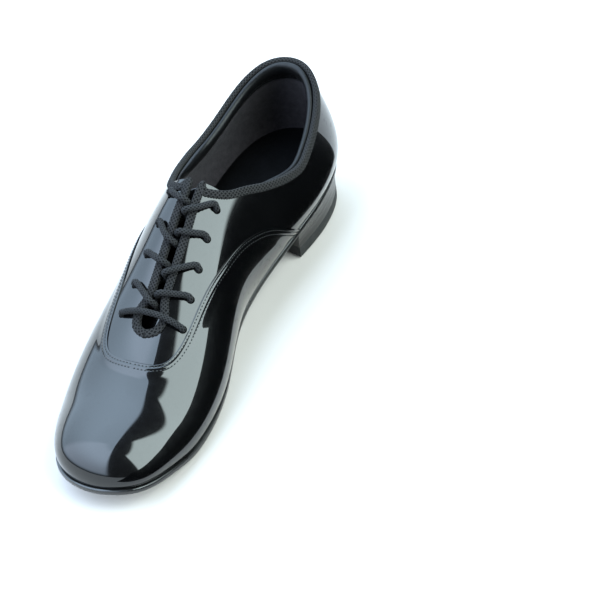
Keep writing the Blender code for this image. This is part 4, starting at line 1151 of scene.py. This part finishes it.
def make_stiffeners():
    """Heel counter and toe puff, between the leather and the lining."""
    around = np.linspace(-0.37, 0.37, 90)
    foot = around / COLLAR_STATIONS[-1] * float(seam_station(0))
    feet = np.stack([foot, 0 * foot], -1)
    edges = np.stack([around, topline(np.abs(around))], -1)
    counter = shell("counter_board", between(feet, edges, np.linspace(0, 0.68, 14)),
                    COUNTER_DEPTH, STIFF)
    first = float(station_of(VAMP_SPLIT_DEPTH))
    rows = []
    for station in np.linspace(first + (1 - first) * 4 / 7, 1.0, 30):
        row = []
        for side in (1.0, -1.0):
            half = [(side * station, up) for up in np.linspace(0, 1, 24)]
            row += half if side > 0 else half[-2::-1]
        rows.append(row)
    return counter, shell("puff_board", np.array(rows), COUNTER_DEPTH, STIFF)


# ---- bottom ------------------------------------------------------------------------------------
def sole_plate(name, levels, mat, stations=150, across=20):
    """Plate along the whole sole; levels are ((margin, share of the sole's own margin), lift)."""
    lattice_points = []
    shares = np.linspace(0, 1, across)
    for margin, lift in levels:
        rows = []
        for station in np.linspace(0, 1, stations):
            out = margin[0] + margin[1] * float(sole_margin(depth_of(station)))
            (x0, d0), (x1, d1) = outline_pair(station, out)
            depth = d0 + (d1 - d0) * shares
            rows.append(np.stack([x0 + (x1 - x0) * shares, HEEL_BACK_Y - depth,
                                  sole_bottom(depth) + lift], -1))
        lattice_points.append(rows)
    return lattice(name, lattice_points, mat, sharp=0.9)


def make_bottom():
    top = SOLE_THICKNESS
    board = top + BOARD_LIFT
    sock = board + BOARD_THICKNESS + FACET_GAP
    outsole = sole_plate("outsole_leather", (((-0.7, 1.0), 0.0), ((-0.15, 1.0), 0.35),
                                             ((0.0, 1.0), 1.0), ((0.0, 1.0), top - 0.9),
                                             ((-0.2, 1.0), top - 0.3), ((-0.8, 1.0), top)), SOLE)
    insole = sole_plate("insole_board", (((-5.6, 0.0), board), ((-5.6, 0.0),
                                                                board + BOARD_THICKNESS)),
                        BOARD, 60, 8)
    liner = sole_plate("sock_lining", (((-3.4, 0.0), sock), ((-2.9, 0.0), sock + 0.5),
                                       ((-3.3, 0.0), sock + SOCK_THICKNESS)), SOCK, 110, 14)
    return outsole, insole, liner


def heel_body(name, levels, mat, hollow=5.0):
    """Part of the heel; levels are (inset, height, share of the way up to the sole)."""
    stations = np.linspace(0, float(station_of(HEEL_BREAST_DEPTH)), 70)
    lattice_points = []
    for inset, height, share in levels:
        rows = []
        for station in stations:
            row = []
            for x, depth in heel_row(station, inset, hollow, 25):
                seat = float(sole_bottom(depth)) - 0.08
                row.append((x, HEEL_BACK_Y - depth, height + (seat - height) * share))
            rows.append(row)
        lattice_points.append(rows)
    return lattice(name, lattice_points, mat, sharp=0.7)


def make_heel():
    low = TAP_PROUD
    split = TAP_THICKNESS + GAP + TOP_PIECE_THICKNESS
    levels = []
    for share in np.linspace(0, 1, 12):
        inset = 2.8 - 2.2 * share + 0.55 * math.sin(math.pi * share)
        if 0.0 < share < 1.0:
            inset += 0.12 * (1 if round(share * 11) % 3 == 0 else 0)
        levels.append((inset, split + 0.08, share))
    block = heel_body("heel_stack", levels, HEEL)
    piece = heel_body("heel_top_lift", ((3.4, low, 0), (3.05, low + 0.4, 0), (2.95, low + 3.0, 0),
                                        (2.85, split - 0.4, 0), (3.1, split, 0)), RUBBER)
    return block, piece


# ---- lace --------------------------------------------------------------------------------------
def make_lace():
    inner, end_side = strand(1.0)
    outer = strand(-1.0)[0]
    middle = beside_ridge(eyelet_depth(len(EYELET_OUT) - 1), 0.0, LACE_OVER_EDGE + 0.8)
    path = smooth_path(list(reversed(inner)) + [middle] + outer, 0.45)
    lace = braided_tube("lace_cord", path, LACE_RADIUS - 0.05, CORD)
    tails = []
    for side, name in ((1.0, "inner"), (-1.0, "outer")):
        laced = inner if end_side == side else outer
        start = laced[-1]
        route = tail_route(side)
        away = unit(route[0] - start)
        full = smooth_path([start + away * 2.2] + route, 0.9)
        tail = braided_tube("tail_" + name, full, LACE_RADIUS, CORD, sides=16)
        tails.append((tail, full, name))
    return lace, tails


def declare_tail(tail, name):
    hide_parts("lace_tail_" + name)
    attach(tail, "rear")


# ---- studio ------------------------------------------------------------------------------------
CAMERA_ANGLES = (0.56114, 0.72892, -0.18771)   # turn, look down and roll, in radians
CAMERA_PLACE = (0.6367, -0.91442, 1.0007)      # metres, in the last's own axes
FOCAL_LENGTH = 2659.5           # in pixels of the frame
FRAME_WIDTH = 600
SENSOR_WIDTH = 36.0

FLOOR_HALF = 4.0                # metres
FLOOR_Z = -0.0002
CARD_FOOT = ((-0.20, 0.030, 0.05), (-0.15, 0.052, 0.055), (-0.08, 0.060, 0.058),
             (0.0, 0.050, 0.076), (0.08, 0.048, 0.086), (0.165, 0.046, 0.086))   # y, x, height
CARD_LEAN = 0.062               # how far the card's top edge stands out from its foot

# Panels of light: azimuth, half width, lowest, highest and soft edge in degrees; then the colour.
RIGHT_PANEL, RIGHT_LIGHT = (8.0, 34.0, 9.0, 68.0, 3.0), (7.1, 8.5, 8.6)
LEFT_PANEL, LEFT_LIGHT = (176.0, 92.0, 4.0, 100.0, 4.0), (3.7, 4.9, 6.2)
FRONT_PANEL, FRONT_LIGHT = (225.0, 42.0, 8.0, 80.0, 6.0), (1.1, 1.2, 1.5)
LEFT_FADE = (8.0, 62.0, 0.42, 1.0)             # the left panel is dimmer low down
ROOM_LIGHT = (0.10, 0.11, 0.12)


def camera():
    turn, rise, roll = CAMERA_ANGLES
    data = bpy.data.cameras.new("camera")
    data.sensor_width = SENSOR_WIDTH
    data.lens = FOCAL_LENGTH / FRAME_WIDTH * SENSOR_WIDTH
    data.clip_end = 50.0
    obj = bpy.data.objects.new("camera", data)
    bpy.context.scene.collection.objects.link(obj)
    forward = Vector((-math.sin(turn) * math.cos(rise), math.cos(turn) * math.cos(rise),
                      -math.sin(rise)))
    right = forward.cross(Vector((0, 0, 1))).normalized()
    up = right.cross(forward)
    right_rolled = right * math.cos(roll) + up * math.sin(roll)
    up_rolled = up * math.cos(roll) - right * math.sin(roll)
    matrix = Matrix((right_rolled, up_rolled, -forward)).transposed().to_4x4()
    matrix.translation = Vector((CAMERA_PLACE[0] + PLAN_SHIFT[0] * MM,
                                 CAMERA_PLACE[1] + PLAN_SHIFT[1] * MM, CAMERA_PLACE[2]))
    obj.matrix_world = matrix
    bpy.context.scene.camera = obj


class Dome:
    """The studio as a dome of light: soft-edged panels over a dark surround."""

    def __init__(self, tree):
        self.tree = tree
        spot = tree.nodes.new("ShaderNodeTexCoord")
        split = tree.nodes.new("ShaderNodeSeparateXYZ")
        tree.links.new(spot.outputs["Generated"], split.inputs["Vector"])
        turn = self.math("ARCTAN2", split.outputs["Y"], split.outputs["X"])
        self.azimuth = self.math("MULTIPLY", turn, 180 / math.pi)
        rise = self.math("ARCSINE", split.outputs["Z"])
        self.elevation = self.math("MULTIPLY", rise, 180 / math.pi)

    def math(self, kind, one, two=None):
        node = self.tree.nodes.new("ShaderNodeMath")
        node.operation = kind
        for socket, value in zip(node.inputs, (one, two)):
            if value is None:
                continue
            if isinstance(value, (int, float)):
                socket.default_value = value
            else:
                self.tree.links.new(value, socket)
        return node.outputs[0]

    def step(self, value, start, end, low=0.0, high=1.0):
        node = self.tree.nodes.new("ShaderNodeMapRange")
        node.interpolation_type = "SMOOTHSTEP"
        for name, number in (("From Min", start), ("From Max", end), ("To Min", low),
                             ("To Max", high)):
            node.inputs[name].default_value = number
        self.tree.links.new(value, node.inputs["Value"])
        return node.outputs[0]

    def panel(self, centre, half_width, low, high, soft):
        """1 inside a panel centred on an azimuth, between two elevations, 0 outside."""
        away = self.math("WRAP", self.math("SUBTRACT", self.azimuth, centre), 180.0)
        away.node.inputs[2].default_value = -180.0
        away = self.math("ABSOLUTE", away)
        inside = self.step(away, half_width - soft, half_width + soft, 1.0, 0.0)
        above = self.step(self.elevation, low - soft, low + soft)
        below = self.step(self.elevation, high - soft, high + soft, 1.0, 0.0)
        return self.math("MULTIPLY", self.math("MULTIPLY", inside, above), below)

    def lit(self, weight, colour):
        node = self.tree.nodes.new("ShaderNodeMix")
        node.data_type = "RGBA"
        for socket in node.inputs:
            if socket.type == "RGBA":
                socket.default_value = (*(colour if socket.name == "B" else grey(0.0)), 1.0)
        node.clamp_factor = False
        self.tree.links.new(weight, node.inputs[0])
        return next(output for output in node.outputs if output.type == "RGBA")

    def total(self, colours):
        result = colours[0]
        for colour in colours[1:]:
            node = self.tree.nodes.new("ShaderNodeVectorMath")
            node.operation = "ADD"
            self.tree.links.new(result, node.inputs[0])
            self.tree.links.new(colour, node.inputs[1])
            result = node.outputs[0]
        return result


def dark_card():
    """Black card beside the inner side, seen only in reflections, where the other shoe stands."""
    card_mat = shader("card_black", grey(0.002), 0.9, specular=0.0)
    vary(card_mat, coordinates(card_mat, (1, 1, 1)), 40.0, 0.85, 0.95)
    verts = []
    for y, x, high in CARD_FOOT:
        verts += [(x, y, 0.0004), (x + CARD_LEAN, y, high)]
    faces = [(i, i + 2, i + 3, i + 1) for i in range(0, len(verts) - 2, 2)]
    card = mesh_object("card", verts, faces, card_mat)
    card.visible_camera = False
    card.visible_diffuse = False
    card.visible_shadow = False
    card.visible_transmission = False
    return card


def studio():
    floor_mat = shader("floor_paper", (0.50, 0.455, 0.425), 0.95, specular=0.1)
    where = coordinates(floor_mat, (1, 1, 1))
    paper = bump(floor_mat, noise(floor_mat, where, 300.0, 3.0), "Fac", 0.05, 0.0002)
    relief(floor_mat, paper)
    corners = [(x * FLOOR_HALF, y * FLOOR_HALF, FLOOR_Z)
               for x, y in ((-1, -1), (1, -1), (1, 1), (-1, 1))]
    floor = mesh_object("floor", corners, [(0, 1, 2, 3)], floor_mat)
    dark_card()
    world = bpy.data.worlds.new("studio")
    world.use_nodes = True
    tree = world.node_tree
    dome = Dome(tree)
    left = dome.math("MULTIPLY", dome.panel(*LEFT_PANEL), dome.step(dome.elevation, *LEFT_FADE))
    everywhere = dome.step(dome.elevation, -90.0, 90.0, 1.0, 1.0)
    colours = [dome.lit(dome.panel(*RIGHT_PANEL), RIGHT_LIGHT), dome.lit(left, LEFT_LIGHT),
               dome.lit(dome.panel(*FRONT_PANEL), FRONT_LIGHT), dome.lit(everywhere, ROOM_LIGHT)]
    tree.links.new(dome.total(colours), tree.nodes["Background"].inputs["Color"])
    tree.nodes["Background"].inputs["Strength"].default_value = 1.0
    bpy.context.scene.world = world
    bpy.context.scene.view_settings.view_transform = "Standard"


def bends(obj):
    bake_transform(obj)


def dress(node, mat):
    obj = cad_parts[node]
    obj.data.materials.clear()
    obj.data.materials.append(mat)


def main():
    camera()
    studio()
    quarter, quarter_lining, edges = make_quarter()
    tape, tape_row = make_tape(edges)
    pad, pad_row = make_pad()
    vamp, vamp_row, vamp_lining = make_vamp()
    tongue, tongue_lining = make_tongue()
    outsole, insole, liner = make_bottom()
    block, piece = make_heel()
    lace, tails = make_lace()
    counter, puff = make_stiffeners()
    swaps = ((quarter, ("quarter",), "patent_leather"),
             (quarter_lining, ("quarter_lining",), "lining"),
             (tape, ("topline_binding",), "binding_tape"),
             (vamp, ("vamp_rear", "vamp_forepart"), "patent_leather"),
             (vamp_lining, ("vamp_lining_rear", "vamp_lining_forepart"), "lining"),
             (outsole, ("outsole_rear", "outsole_forepart"), "sole_leather"),
             (insole, ("insole_board_rear", "insole_board_forepart"), "insole_board"),
             (liner, ("sock_liner",), "black_leather"),
             (lace, ("lace",), "lace_braid"))
    for obj, nodes, slot in swaps:
        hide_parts(*nodes)
        bends(obj)
    for obj in (tape_row, vamp_row):
        bends(obj)
    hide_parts("collar_padding")
    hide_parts("heel_block")
    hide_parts("heel_top_piece")
    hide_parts("heel_counter")
    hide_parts("toe_puff")
    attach(puff, "forepart")
    for obj in (pad, pad_row, block, piece, counter):
        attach(obj, "rear")
    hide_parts("tongue")
    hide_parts("tongue_lining")
    for obj in (tongue, tongue_lining):
        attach(obj, "tongue")
    for tail, path, name in tails:
        declare_tail(tail, name)
    for node, mat in (("bottom_filler", CORK), ("shank", STEEL), ("heel_tap", ALUMINIUM),
                      ("toe_tap", ALUMINIUM), ("aglet_inner", AGLET), ("aglet_outer", AGLET)):
        dress(node, mat)
    for number in (1, 2, 3):
        dress("heel_tap_screw_%d" % number, STEEL)
        dress("toe_tap_screw_%d" % number, STEEL)


main()
